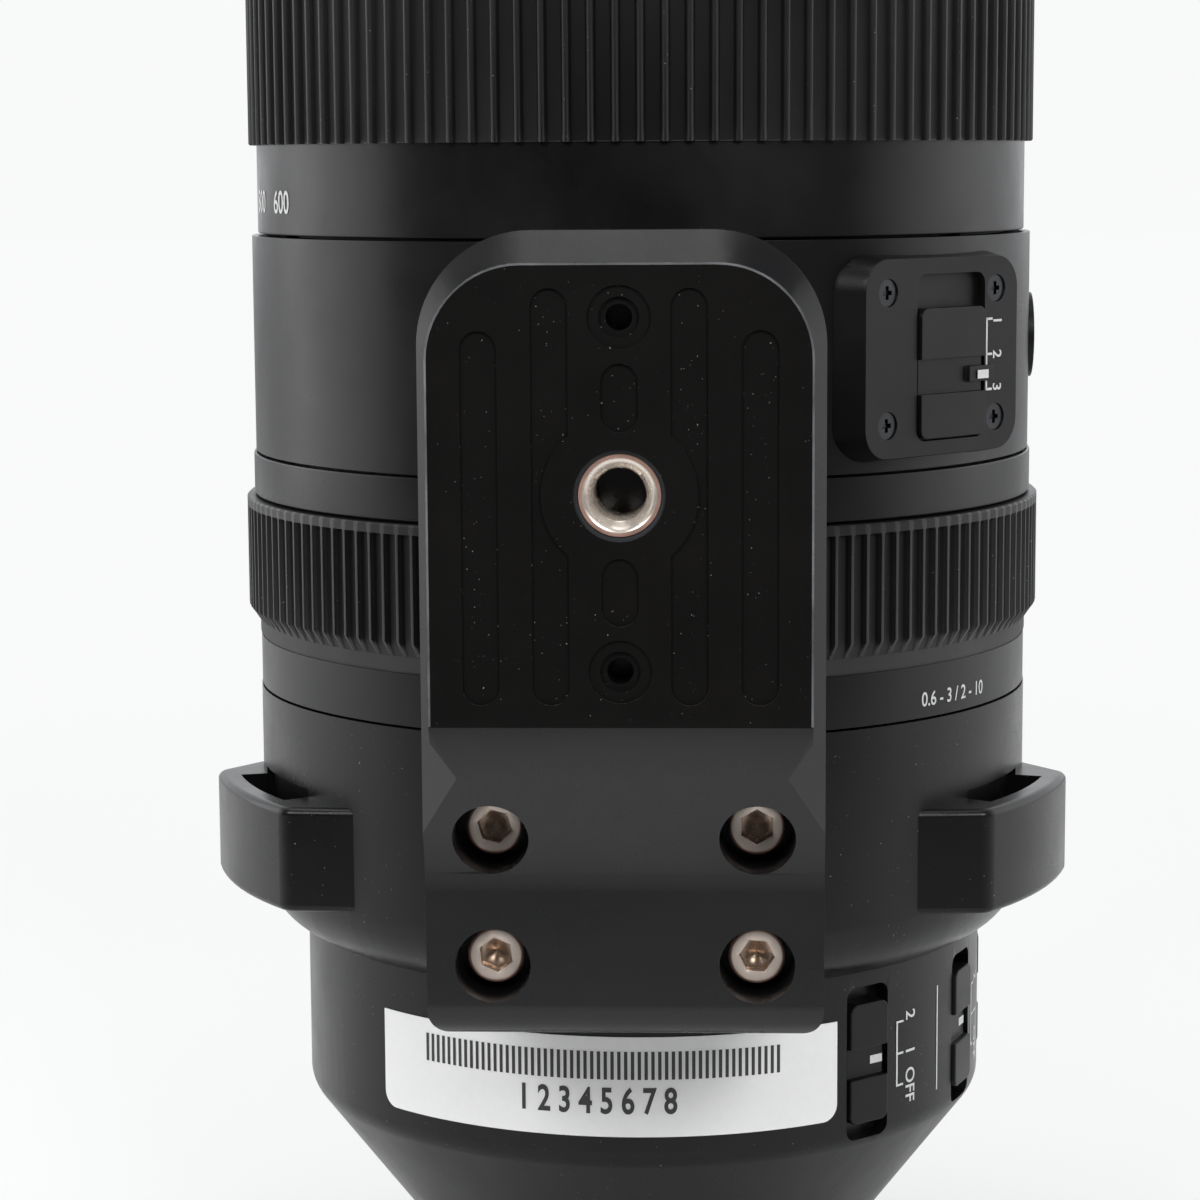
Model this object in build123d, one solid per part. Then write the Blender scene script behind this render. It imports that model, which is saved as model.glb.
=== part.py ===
"""Long telephoto zoom lens with a rotating tripod collar and a removable foot.

Millimetres. Z is the optical axis with the front of the lens up. Z = 0 is the
face of the lens mount. The tripod foot points to -Y. An azimuth is measured
from -Y towards +X, so the foot is at azimuth 0.
"""
import os
from math import cos, degrees, hypot, pi, radians, sin, sqrt

from build123d import *

# General fits
GAP = 0.3               # between tubes that turn or slide on each other
SEAT = 0.05             # between pieces that are fixed together
RUN = 0.08              # radial clearance of a pin in its bore
GROOVE = 0.3            # parting line between neighbouring outer rings
OVER = 1.0              # overrun of a cutting tool

# Stations along the optical axis, from the mount to the front rim
PLATE_T = 1.6           # flange of the mount
NECK_Z = 9.4            # top of the straight neck behind the cone
CONE_Z = 29.0           # front end of the cone of the rear housing
HOUSING_Z = 51.4        # front end of the rear housing
COLLAR_H = 33.4
DISTANCE_H = 6.8
FOCUS_H = 18.9
LOWER_BAND_H = 5.65
CONTROL_H = 29.15
ZOOM_H = 85.2
FRONT_H = 31.0

COLLAR_Z = HOUSING_Z + GROOVE
DISTANCE_Z = COLLAR_Z + COLLAR_H + GROOVE
FOCUS_Z = DISTANCE_Z + DISTANCE_H + GROOVE
LOWER_BAND_Z = FOCUS_Z + FOCUS_H + GROOVE
CONTROL_Z = LOWER_BAND_Z + LOWER_BAND_H + GROOVE
ZOOM_Z = CONTROL_Z + CONTROL_H + GROOVE
FRONT_Z = ZOOM_Z + ZOOM_H + GROOVE
FRONT_END = FRONT_Z + FRONT_H
IRIS_RISE = 28.3        # from the rear edge of the collar
IRIS_Z = COLLAR_Z + IRIS_RISE

# Nested tubes, each outside the one before
TUBE_R = 46.5           # sliding front tube
TUBE_WALL = 1.5
GUIDE_WALL = 1.6        # fixed barrel with straight slots
CAM_WALL = 1.2          # turning barrel with helical slots
SLEEVE_WALL = 1.5       # fixed outer sleeve under the focus ring
FOCUS_WALL = 1.0        # metal ring under the focus rubber
CHASSIS_WALL = 1.6

GUIDE_R = TUBE_R + GAP + GUIDE_WALL
CAM_R = GUIDE_R + GAP + CAM_WALL
SLEEVE_R = CAM_R + GAP + SLEEVE_WALL
FOCUS_SLEEVE_R = SLEEVE_R + GAP + FOCUS_WALL
CHASSIS_R = CAM_R + GAP - 2 * SEAT

# What shows, each ring outside the tube that carries it
HOUSING_STEP = 2.8      # rear housing inside the collar's chassis
COLLAR_WALL = 2.8
DISTANCE_WALL = 1.35
FOCUS_RUBBER_T = 1.7
LOWER_BAND_WALL = 1.9
CONTROL_WALL = 1.6
ZOOM_SLEEVE_STEP = 0.8
ZOOM_RUBBER_T = 1.1
FRONT_STEP = 0.5        # front housing outside the zoom sleeve

HOUSING_R = CHASSIS_R - HOUSING_STEP
COLLAR_R = CHASSIS_R + GAP + COLLAR_WALL
DISTANCE_R = SLEEVE_R + SEAT + DISTANCE_WALL
FOCUS_R = FOCUS_SLEEVE_R + FOCUS_RUBBER_T
LOWER_BAND_R = SLEEVE_R + SEAT + LOWER_BAND_WALL
CONTROL_R = SLEEVE_R + SEAT + CONTROL_WALL
ZOOM_SLEEVE_R = SLEEVE_R + ZOOM_SLEEVE_STEP
ZOOM_R = ZOOM_SLEEVE_R + ZOOM_RUBBER_T
FRONT_R = ZOOM_SLEEVE_R + FRONT_STEP

# Zoom drive
ZOOM_TURN = 75.0        # degrees of the zoom ring
EXTENSION = 95.0        # travel of the front tube
VARIATOR_TRAVEL = 45.0
PIN_INSET = 4.0         # from the rear end of the tube to its follower pins
PIN_R = 2.0
SLOT_PLAY = 0.1
FRONT_PIN_AZIMUTHS = (30.0, 150.0, 270.0)
VARIATOR_PIN_AZIMUTHS = (100.0, 220.0, 340.0)
VARIATOR_RISE = 16.0    # from the iris
VARIATOR_Z = IRIS_Z + VARIATOR_RISE
VARIATOR_H = 12.0
TUBE_LEAD = 4.0         # rear end of the retracted front tube ahead of the variator
TUBE_Z = VARIATOR_Z + VARIATOR_H + TUBE_LEAD
VARIATOR_GLASS_R = 30.0
VARIATOR_GLASS_T = 5.0

# Grips
FOCUS_RIBS = 148
ZOOM_RIBS = 110
RIB_DEPTH = 0.9
GROOVE_SHARE = 0.42     # of one rib pitch, open between ribs
RIB_TIP_SHARE = 0.72    # width of a rib's crest against its foot
GRIP_MARGIN = 11.8      # bare scale ring behind the zoom grip
GRIP_FRONT_MARGIN = 6.3
FOCUS_BEVEL = 1.4
FOCUS_BEVEL_H = 2.0
FOCUS_RIM_H = 1.9       # bare rim of the focus ring below its rubber
FOCUS_RIM_STEP = 0.2    # of that rim outside the focus sleeve
FOCUS_RIM_R = FOCUS_SLEEVE_R + FOCUS_RIM_STEP
FOCUS_CUFF_H = 1.3      # unribbed front edge of the rubber

# Mount
THROAT_R = 22.0
SPIGOT_WALL = 2.0
SPIGOT_R = THROAT_R + SPIGOT_WALL
SPIGOT_Z = -4.0
CLAW_PROUD = 1.6
CLAW_R = SPIGOT_R + CLAW_PROUD
CLAW_T = 1.3
CLAW_ARC = 58.0
CLAW_COUNT = 3
NECK_BORE_GAP = 2.5     # round the spigot
NECK_BORE_R = SPIGOT_R + NECK_BORE_GAP
PLATE_W = 5.1           # of the flange outside the neck's bore
PLATE_R = NECK_BORE_R + PLATE_W
NECK_STEP = 0.7         # neck of the housing outside the flange
NECK_R = PLATE_R + NECK_STEP
MOUNT_SCREW_INSET = 2.3  # from the edge of the flange
MOUNT_SCREW_PCR = PLATE_R - MOUNT_SCREW_INSET
MOUNT_SCREW_COUNT = 4
MOUNT_SCREW_R = 1.0
MOUNT_HEAD_R = 1.8
MOUNT_HEAD_H = 0.9
MOUNT_SCREW_L = 6.0
SEAL_LIP = 0.35
CONTACT_ARC = 64.0
CONTACT_T = 3.2
CONTACT_RECESS = 0.5    # face of the block behind the end of the spigot
CONTACT_COUNT = 10
CONTACT_PIN_R = 0.55
CONTACT_PIN_H = 0.3
HOUSING_WALL = 3.2
HOUSING_ROUND = 4.0
NECK_ROUND = 2.0

# Rear optics and focus drive
BAFFLE_T = 1.2
BAFFLE_W = 36.0
BAFFLE_D = 24.0
BAFFLE_ROUND = 3.0
REAR_GLASS_R = 17.0
REAR_GLASS_T = 6.0
CELL_WALL = 3.0
CELL_STEP = 0.8
REAR_CELL_H = 14.0
REAR_CELL_FLANGE_H = 4.6
BOARD_T = 1.2
BOARD_Z = 25.0
BOARD_BORE_R = 23.0
CHIP_W = 6.0
CHIP_H = 1.4
CHIP_COUNT = 5
FOCUS_BASE_T = 2.0
FOCUS_BASE_BORE_R = 22.0
ROD_R = 1.5
ROD_INSET = 13.1        # from the bore of the rear housing
ROD_PCR = HOUSING_R - HOUSING_WALL - ROD_INSET
ROD_COUNT = 2
FOCUS_CELL_Z = 48.0
FOCUS_CELL_H = 9.0
FOCUS_TRAVEL = 14.0
FOCUS_GLASS_R = 19.0
FOCUS_GLASS_T = 4.0
MOTOR_W = 12.0
MOTOR_D = 6.0
MOTOR_H = 28.0
MOTOR_INSET = 8.1       # from the bore of the rear housing
MOTOR_PCR = HOUSING_R - HOUSING_WALL - MOTOR_INSET

# Iris
IRIS_BASE_T = 2.0
IRIS_OPEN_R = 17.5
BLADE_COUNT = 9
BLADE_T = 0.15
BLADE_PITCH = 0.25
BLADE_OUT_R = 24.5
BLADE_ARC = 95.0
BLADE_PIVOT_STEP = 2.5  # of the pivots outside the blades' arc
BLADE_PIVOT_R = BLADE_OUT_R + BLADE_PIVOT_STEP
BLADE_LEVER = 6.0
BLADE_SWING = 30.0
BLADE_PIN_R = 0.8
BLADE_TAB = 1.8         # radius of the metal round each blade pin
IRIS_RING_T = 1.0
IRIS_RING_INSET = 7.0   # of the drive ring inside the front tube's radius
IRIS_RING_R = TUBE_R - IRIS_RING_INSET
IRIS_WALL_H = 7.0
IRIS_LEDGE = 1.5        # width of the ledge under the drive ring
IRIS_LIP = 1.0          # width of the rolled lip over the drive ring

# Collar
LIP_GAP = 0.4           # between the collar's rear lip and the housing
LIP_R = HOUSING_R + LIP_GAP
LIP_H = 3.8
COLLAR_ARC_R = 8.25     # rounding of the rear edge
FLANGE_H = 3.0          # inner flange of the chassis
FLANGE_W = 7.1
FLANGE_BORE_R = CHASSIS_R - FLANGE_W
PAD_PROUD = 2.8         # flat pad for the foot, outside the collar
PAD_D = COLLAR_R + PAD_PROUD
LUG_AZIMUTH = 64.5
LUG_RISE = 7.8          # from the rear edge of the collar
LUG_H = 13.9
LUG_Z0 = COLLAR_Z + LUG_RISE
LUG_Z1 = LUG_Z0 + LUG_H
LUG_PROUD = 6.4
LUG_R = COLLAR_R + LUG_PROUD
LUG_WALL = 2.8
LUG_RECESS = 1.0        # depth of the collar's surface behind the strap slot
LUG_RECESS_R = COLLAR_R - LUG_RECESS
LUG_FOOT_HALF = 21.5    # half angle of the lug where it leaves the collar
LUG_TOP_HALF = 14.2
LUG_SLOT_HALF = 9.8
LUG_ROUND = 1.0
KNOB_AZIMUTH = 150.0
KNOB_RISE = 18.3
KNOB_Z = COLLAR_Z + KNOB_RISE
BOSS_R = 8.0
BOSS_PROUD = 3.3
BOSS_D = COLLAR_R + BOSS_PROUD
KNOB_R = 9.5
KNOB_H = 10.5
KNOB_LOBES = 12
KNOB_LOBE_R = 1.6
LOCK_SCREW_R = 3.0

# Foot, sizes D are distances from the optical axis
FOOT_HEIGHT = 34.0      # from the pad to the bottom face
FOOT_D = PAD_D + FOOT_HEIGHT
FOOT_W = 46.6
FACE_W = 43.4           # bottom face between the dovetail edges
FACE_RISE = 39.4        # from the rear end of the foot to its bottom face
FACE_L = 52.1
RIM_LEAD = 3.4          # the dovetail rim leads the face at the front
FOOT_RISE = 2.3         # from the rear edge of the collar
FOOT_Z0 = COLLAR_Z + FOOT_RISE
RIM_ROUND = 13.0
FACE_ROUND = 10.8
HEEL_ROUND = 3.5
LIP_T = 1.2             # straight lip below the dovetail
VEE_W = 37.8            # across the bottom of the dovetail grooves
VEE_DEPTH = 4.0         # of the dovetail's narrowest line below the bottom face
FOOT_PLATE_T = 12.0
HEEL_DROP = 11.1        # rear end of the slope above the bottom face
HEEL_TOP_DROP = 10.4
HEEL_TOP_RISE = 17.0
HEEL_EDGE = 4.5
SLOPE_ROUND = 16.0
STEM_H = 33.5
STEM_ROUND = 9.0
EDGE_ROUND = 1.2
FOOT_SCREW_X = 15.5
FOOT_SCREW_RISE = 16.9
FOOT_SCREW_DZ = 7.8
FOOT_HEAD_R = 3.4
FOOT_HEAD_H = 4.0
FOOT_HEAD_DEPTH = 16.0  # top of the screw heads above the bottom face
FOOT_HEX_AF = 3.6
FOOT_HEX_DEPTH = 2.4
FOOT_SHANK_R = 2.0
FOOT_SCREW_GRIP = 5.8   # length of the screws in the collar
COUNTERBORE_R = 4.45
HEAD_CHAMFER = 0.35

# Working face of the foot
INSERT_RISE = 26.2      # from the rear end of the bottom face
INSERT_R = 4.7
INSERT_BORE_R = 2.95
INSERT_MOUTH_R = 4.1
INSERT_L = 10.0
INSERT_RECESS_R = 5.15
INSERT_RECESS = 0.6
STOP_HOLE_DZ = 19.85
STOP_HOLE_R = 1.5
STOP_HOLE_L = 7.0
STOP_RING_R = 3.6
STOP_STEP_R = 2.3
STOP_STEP = 1.0
PAD_GROOVE = 0.4        # depth of the shallow grooves
PAD_GROOVE_W = 4.2
OUTER_GROOVE_X = 15.7
OUTER_GROOVE_L = 42.1
INNER_GROOVE_X = 7.8
INNER_GROOVE_L = 46.8
GROOVE_RISE = 2.5
SHORT_GROOVE_L = 7.7
SHORT_GROOVE_DZ = 10.9
LAND_R = 8.8

FACE_Z0 = FOOT_Z0 + FACE_RISE
FACE_Z1 = FACE_Z0 + FACE_L
RIM_Z1 = FACE_Z1 + RIM_LEAD
VEE_D = FOOT_D - VEE_DEPTH
VEE_TOP_D = VEE_D - (FOOT_W - VEE_W) / 2
PLATE_D = FOOT_D - FOOT_PLATE_T
HEEL_D = FOOT_D - HEEL_DROP
HEEL_TOP_D = FOOT_D - HEEL_TOP_DROP
HEEL_TOP_Z = FOOT_Z0 + HEEL_TOP_RISE
STEM_Z1 = FOOT_Z0 + STEM_H
FOOT_SCREW_Z = FOOT_Z0 + FOOT_SCREW_RISE
FOOT_HEAD_D = FOOT_D - FOOT_HEAD_DEPTH
FOOT_SCREW_END_D = PAD_D - FOOT_SCREW_GRIP
INSERT_Z = FACE_Z0 + INSERT_RISE
GROOVE_Z0 = FACE_Z0 + GROOVE_RISE

# Torque panel, sizes P are distances of a flat face from the optical axis
PANEL_AZIMUTH = 45.5
PANEL_RISE = 14.25      # from the rear edge of the control band
PANEL_Z = CONTROL_Z + PANEL_RISE
PANEL_PROUD = 1.65
PANEL_P = CONTROL_R + PANEL_PROUD
PANEL_W = 29.0
PANEL_H = 24.8
PANEL_ROUND = 4.0
PANEL_SPREAD = 1.6      # how much wider the foot of the panel is on each side
PANEL_SCREW_DX = 10.35
PANEL_SCREW_DZ = 8.25
PANEL_SCREW_R = 1.7
PANEL_SCREW_L = 1.2
PANEL_SCREW_SINK = 0.25
TORQUE_X = 1.6          # centre of the slider across the panel
TORQUE_W = 12.4
TORQUE_L = 16.4
TORQUE_TRAVEL = 4.0
TORQUE_SINK = 10.3      # rear end of the slider behind the panel's middle
TORQUE_Z0 = PANEL_Z - TORQUE_SINK
TORQUE_FLOOR = 1.2
TORQUE_PLAY = 0.3
TORQUE_PROUD = 0.5
TORQUE_VALLEY = 0.7     # depth of the finger valley below the pads
TORQUE_VALLEY_L = 4.4
TORQUE_VALLEY_RISE = 7.8
TORQUE_VALLEY_Z = TORQUE_Z0 + TORQUE_VALLEY_RISE
SLIDER_ROUND = 1.2
INDEX_W = 2.0
INDEX_L = 1.4
INDEX_T = 0.4

# Rear slide switches
SWITCH_AZIMUTHS = {"custom_switch": 40.0, "stabiliser_switch": 68.0,
                   "limiter_switch": 96.0, "focus_mode_switch": 124.0}
SWITCH_W = 6.6
SWITCH_L = 16.2
SWITCH_Z = 39.3         # centre of the slots
SWITCH_TRAVEL = 2.0     # each way from the middle position
SWITCH_PLAY = 0.3
SWITCH_END_PLAY = 0.2
SWITCH_DEPTH = 2.35
SWITCH_FLOOR_R = HOUSING_R - SWITCH_DEPTH
SWITCH_PROUD = 0.4
SWITCH_VALLEY = 1.0
SWITCH_VALLEY_L = 4.0

# Focus hold buttons
BUTTON_AZIMUTHS = {"hold_button_side": 90.0, "hold_button_top": 180.0, "hold_button_bottom": 0.0}
BUTTON_RISE = 14.85     # from the rear edge of the control band
BUTTON_Z = CONTROL_Z + BUTTON_RISE
BUTTON_R = 5.8
BUTTON_PROUD = 0.5
BUTTON_TRAVEL = 0.4
BUTTON_T = 2.6
BUTTON_DISH_R = 4.6
BUTTON_DISH = 0.25
BUTTON_SINK = 0.9       # depth of the button's pocket in the outer sleeve
BUTTON_FLOOR_R = SLEEVE_R - BUTTON_SINK

# Front group
FILTER_INSET = 5.5      # from the outside of the front housing
FILTER_R = FRONT_R - FILTER_INSET
FILTER_L = 4.5
RIM_CHAMFER = 0.6
FRONT_GLASS_INSET = 0.9  # of the glass inside the filter thread
FRONT_GLASS_R = FILTER_R - FRONT_GLASS_INSET
FRONT_GLASS_EDGE = 6.0
FRONT_GLASS_SAG = 6.5
FRONT_SEAT_DEPTH = 18.6  # of the glass seat behind the front rim
FRONT_SEAT_W = 1.8
FRONT_SEAT_BORE_R = FRONT_GLASS_R - FRONT_SEAT_W
FRONT_GLASS_HOLLOW = 1.2
RETAINER_T = 2.2
RETAINER_W = 2.0
RETAINER_CONE = 0.7      # how far its inner edge stands off the seat to clear the glass
HOOD_GROOVE_Z = 12.0     # behind the front rim
HOOD_GROOVE_W = 2.0
HOOD_GROOVE = 0.6
TUBE_GRIP = 8.0          # length of the front tube held inside the front housing

# Stock label on the rear housing
LABEL_AZIMUTH0 = -44.7
LABEL_AZIMUTH1 = 33.6
LABEL_Z0 = 32.4
LABEL_Z1 = 45.6
LABEL_T = 0.12
LABEL_ROUND = 2.2


def turned(points, rounds=()):
    """Solid turned about the optical axis; rounds holds (point number, radius)."""
    section = make_face(Polyline([(r, 0, z) for r, z in points], close=True))
    for number, radius in rounds:
        r, z = points[number]
        corner = section.vertices().sort_by_distance((r, 0, z))[0]
        section = fillet(corner, radius)
    return revolve(section, Axis.Z)


def tube(outer, inner, z0, z1):
    """Plain ring between two stations."""
    return turned([(inner, z0), (outer, z0), (outer, z1), (inner, z1)])


def facing(azimuth):
    """Frame looking out at an azimuth: x runs round, y runs up Z, z runs outwards."""
    a = radians(azimuth)
    return Plane(origin=(0, 0, 0), x_dir=(cos(a), sin(a), 0), z_dir=(sin(a), -cos(a), 0))


def radial_pin(azimuth, z, radius, d0, d1):
    """Round pin along a radius of the lens."""
    return facing(azimuth) * Pos(0, z, (d0 + d1) / 2) * Cylinder(radius, d1 - d0)


def polar(radius, azimuth):
    """Point in plan at an azimuth from -Y."""
    a = radians(azimuth)
    return radius * sin(a), -radius * cos(a)


def sector(r_in, r_out, azimuth0, azimuth1, z0, z1):
    """Block bent round the optical axis."""
    middle = (azimuth0 + azimuth1) / 2
    plan = make_face([
        ThreePointArc(polar(r_out, azimuth0), polar(r_out, middle), polar(r_out, azimuth1)),
        Line(polar(r_out, azimuth1), polar(r_in, azimuth1)),
        ThreePointArc(polar(r_in, azimuth1), polar(r_in, middle), polar(r_in, azimuth0)),
        Line(polar(r_in, azimuth0), polar(r_out, azimuth0))])
    return extrude(Pos(0, 0, z0) * plan, z1 - z0)


def lens_glass(radius, edge, bulge, hollow, z):
    """Glass with a bulging front face and a hollow rear face; z is the rear of its straight edge."""
    section = make_face([
        Line((0, 0, z + hollow), (0, 0, z + edge + bulge)),
        dome_arc(radius, z + edge, bulge),
        Line((radius, 0, z + edge), (radius, 0, z)),
        dome_arc(radius, z, hollow)])
    return revolve(section, Axis.Z)


def dome_arc(radius, z, rise):
    """Arc from the optical axis, a rise above z, down to the rim of a glass."""
    sphere = (radius ** 2 + rise ** 2) / (2 * rise)
    half = radius / 2
    middle = z + rise - sphere + sqrt(sphere ** 2 - half ** 2)
    return ThreePointArc((0, 0, z + rise), (half, 0, middle), (radius, 0, z))


def ribbed_ring(outer, inner, count, z0, z1):
    """Rubber grip: a ring with straight ribs, drawn as one toothed outline."""
    pitch = 2 * pi / count
    floor = outer - RIB_DEPTH
    foot = pitch * (1 - GROOVE_SHARE) / 2
    crest = foot * RIB_TIP_SHARE
    points = []
    for i in range(count):
        a = i * pitch
        for radius, angle in ((floor, a - foot), (outer, a - crest), (outer, a + crest), (floor, a + foot)):
            points.append((radius * cos(angle), radius * sin(angle)))
    plan = make_face(Polyline(points, close=True)) - Circle(inner)
    return extrude(Pos(0, 0, z0) * plan, z1 - z0)


def helical_slot(azimuth, z0, z1):
    """Cutter for a cam slot that runs forward in azimuth while it climbs."""
    width = 2 * (PIN_R + SLOT_PLAY)
    rise = z1 - z0
    middle = CAM_R - CAM_WALL / 2
    path = Helix(pitch=rise * 360 / ZOOM_TURN, height=rise, radius=middle, center=(0, 0, z0))
    start = Plane(origin=path @ 0, x_dir=(1, 0, 0), z_dir=path % 0)
    swept = sweep(start * Rectangle(CAM_WALL + 2 * OVER, width), path=path, is_frenet=True)
    swept = Rot(0, 0, azimuth - 90) * swept
    ends = [radial_pin(a, z, width / 2, middle - CAM_WALL / 2 - OVER, middle + CAM_WALL / 2 + OVER)
            for a, z in ((azimuth, z0), (azimuth + ZOOM_TURN, z1))]
    return [swept] + ends


def straight_slot(azimuth, z0, z1):
    """Cutter for a guide slot along the optical axis."""
    width = 2 * (PIN_R + SLOT_PLAY)
    depth = GUIDE_WALL + 2 * OVER
    outline = SlotCenterToCenter(z1 - z0, width, rotation=90)
    return facing(azimuth) * Pos(0, (z0 + z1) / 2, GUIDE_R - GUIDE_WALL - OVER) * extrude(outline, depth)


def rounded_slider(width, length, radius, p0, p1):
    """Block with rounded corners between two distances from the optical axis."""
    return Pos(0, 0, p0) * extrude(RectangleRounded(width, length, radius), p1 - p0)


# Mount and rear end

def mount_plate():
    plate = turned([(THROAT_R, SPIGOT_Z), (SPIGOT_R, SPIGOT_Z), (SPIGOT_R, 0), (PLATE_R, 0),
                    (PLATE_R, PLATE_T), (THROAT_R, PLATE_T)])
    for i in range(CLAW_COUNT):
        centre = i * 360 / CLAW_COUNT
        claw = sector(SPIGOT_R - SEAT, CLAW_R, centre - CLAW_ARC / 2, centre + CLAW_ARC / 2,
                      SPIGOT_Z, SPIGOT_Z + CLAW_T)
        plate += claw
    sink = Pos(0, 0, (MOUNT_HEAD_H - OVER) / 2) * Cylinder(MOUNT_HEAD_R + RUN, MOUNT_HEAD_H + OVER)
    for place in mount_screw_places():
        plate -= place * Cylinder(MOUNT_SCREW_R + RUN, 4 * PLATE_T)
        plate -= place * sink
    return plate


def mount_screw_places():
    step = 360 / MOUNT_SCREW_COUNT
    return [Pos(*polar(MOUNT_SCREW_PCR, (i + 0.5) * step), 0) for i in range(MOUNT_SCREW_COUNT)]


def mount_screws():
    head = Pos(0, 0, MOUNT_HEAD_H / 2 + SEAT) * Cylinder(MOUNT_HEAD_R, MOUNT_HEAD_H - 2 * SEAT)
    shank = Pos(0, 0, (MOUNT_HEAD_H + MOUNT_SCREW_L) / 2) * Cylinder(MOUNT_SCREW_R, MOUNT_SCREW_L)
    drive = Box(MOUNT_HEAD_R, MOUNT_HEAD_R / 4, MOUNT_HEAD_H)
    screw = head + shank - drive - Rot(0, 0, 90) * drive
    return [place * screw for place in mount_screw_places()]


def mount_seal():
    return turned([(PLATE_R + SEAT, -SEAL_LIP), (NECK_R + SEAL_LIP, 0), (NECK_R + SEAL_LIP, PLATE_T),
                   (PLATE_R + SEAT, PLATE_T)])


def contact_block():
    z0 = SPIGOT_Z + CONTACT_RECESS
    outer = THROAT_R - SEAT
    return sector(outer - CONTACT_T, outer, 180 - CONTACT_ARC / 2, 180 + CONTACT_ARC / 2, z0, PLATE_T)


def contact_pins():
    z0 = SPIGOT_Z + CONTACT_RECESS
    step = CONTACT_ARC / CONTACT_COUNT
    radius = THROAT_R - SEAT - CONTACT_T / 2
    pin = Cylinder(CONTACT_PIN_R, CONTACT_PIN_H)
    first = 180 - (CONTACT_COUNT - 1) / 2 * step
    return [Pos(*polar(radius, first + i * step), z0 - CONTACT_PIN_H / 2) * pin for i in range(CONTACT_COUNT)]


def rear_housing():
    bore_r = HOUSING_R - HOUSING_WALL
    body = turned([(NECK_BORE_R, PLATE_T), (NECK_R, PLATE_T), (NECK_R, NECK_Z), (HOUSING_R, CONE_Z),
                   (HOUSING_R, HOUSING_Z), (bore_r, HOUSING_Z), (bore_r, CONE_Z + FOCUS_BASE_T),
                   (NECK_BORE_R, NECK_Z + SEAT)],
                  rounds=((3, HOUSING_ROUND), (2, NECK_ROUND)))
    for place in mount_screw_places():
        body -= place * Pos(0, 0, (PLATE_T + MOUNT_SCREW_L) / 2 + SEAT) * Cylinder(
            MOUNT_SCREW_R + RUN, MOUNT_SCREW_L + OVER)
    slot_w = SWITCH_W + 2 * SWITCH_PLAY
    slot_l = SWITCH_L + 2 * (SWITCH_TRAVEL + SWITCH_END_PLAY)
    for azimuth in SWITCH_AZIMUTHS.values():
        pocket = rounded_slider(slot_w, slot_l, SLIDER_ROUND + SWITCH_PLAY, SWITCH_FLOOR_R - SEAT,
                                HOUSING_R + OVER)
        body -= facing(azimuth) * Pos(0, SWITCH_Z, 0) * pocket
    return body


def slide_switch(azimuth):
    """Slider with two pads and a finger valley between them."""
    pads = rounded_slider(SWITCH_W, SWITCH_L, SLIDER_ROUND, SWITCH_FLOOR_R, HOUSING_R + SWITCH_PROUD)
    valley_p = HOUSING_R + SWITCH_PROUD - SWITCH_VALLEY
    valley = Pos(0, 0, valley_p + OVER) * Box(SWITCH_W + OVER, SWITCH_VALLEY_L, 2 * OVER)
    return facing(azimuth) * Pos(0, SWITCH_Z, 0) * (pads - valley)


def stock_label():
    r0 = HOUSING_R + SEAT
    r1 = r0 + LABEL_T
    strip = sector(r0, r1, LABEL_AZIMUTH0, LABEL_AZIMUTH1, LABEL_Z0, LABEL_Z1)
    corners = [edge for edge in strip.edges().filter_by(GeomType.LINE)
               if abs(edge.center().Z - LABEL_Z0) < LABEL_T and edge.length < 2 * LABEL_T]
    return fillet(corners, LABEL_ROUND)


def rear_baffle():
    disc = Pos(0, 0, PLATE_T + BAFFLE_T / 2) * Cylinder(NECK_BORE_R - SEAT, BAFFLE_T)
    window = extrude(RectangleRounded(BAFFLE_W, BAFFLE_D, BAFFLE_ROUND), PLATE_T + BAFFLE_T + OVER)
    return disc - window


def rear_cell():
    z0 = PLATE_T + BAFFLE_T
    seat_r = REAR_GLASS_R + SEAT
    outer = seat_r + CELL_WALL
    flange_r = NECK_BORE_R - SEAT
    flange_z = z0 + REAR_CELL_FLANGE_H
    return turned([(seat_r - CELL_STEP, z0), (flange_r, z0), (flange_r, flange_z), (outer, flange_z),
                   (outer, z0 + REAR_CELL_H), (seat_r, z0 + REAR_CELL_H), (seat_r, z0 + CELL_WALL),
                   (seat_r - CELL_STEP, z0 + CELL_WALL)])


def rear_glass():
    z0 = PLATE_T + BAFFLE_T + CELL_WALL
    return lens_glass(REAR_GLASS_R, REAR_GLASS_T, CELL_STEP, CELL_STEP, z0)


def cone_bore(z):
    """Inner radius of the rear housing's cone at a station."""
    z0 = NECK_Z + SEAT
    z1 = CONE_Z + FOCUS_BASE_T
    return NECK_BORE_R + (HOUSING_R - HOUSING_WALL - NECK_BORE_R) * (z - z0) / (z1 - z0)


def circuit_board():
    """Ring board in the cone with a row of chips."""
    board = tube(cone_bore(BOARD_Z) - SEAT, BOARD_BORE_R, BOARD_Z, BOARD_Z + BOARD_T)
    radius = (cone_bore(BOARD_Z) + BOARD_BORE_R) / 2
    height = CHIP_H + SEAT
    for i in range(CHIP_COUNT):
        chip = Box(CHIP_W, height, CHIP_W)
        board += facing(i * 360 / CHIP_COUNT) * Pos(0, BOARD_Z + BOARD_T + CHIP_H - height / 2, radius) * chip
    return board


# Focus drive

def focus_base_z():
    return CONE_Z + FOCUS_BASE_T + SEAT


def rod_places():
    return [polar(ROD_PCR, 90 + i * 360 / ROD_COUNT) for i in range(ROD_COUNT)]


def focus_base():
    z0 = focus_base_z()
    return tube(HOUSING_R - HOUSING_WALL - SEAT, FOCUS_BASE_BORE_R, z0, z0 + FOCUS_BASE_T)


def focus_rods():
    z0 = focus_base_z() + FOCUS_BASE_T
    length = IRIS_Z - z0
    return [Pos(x, y, z0 + length / 2) * Cylinder(ROD_R, length) for x, y in rod_places()]


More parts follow.
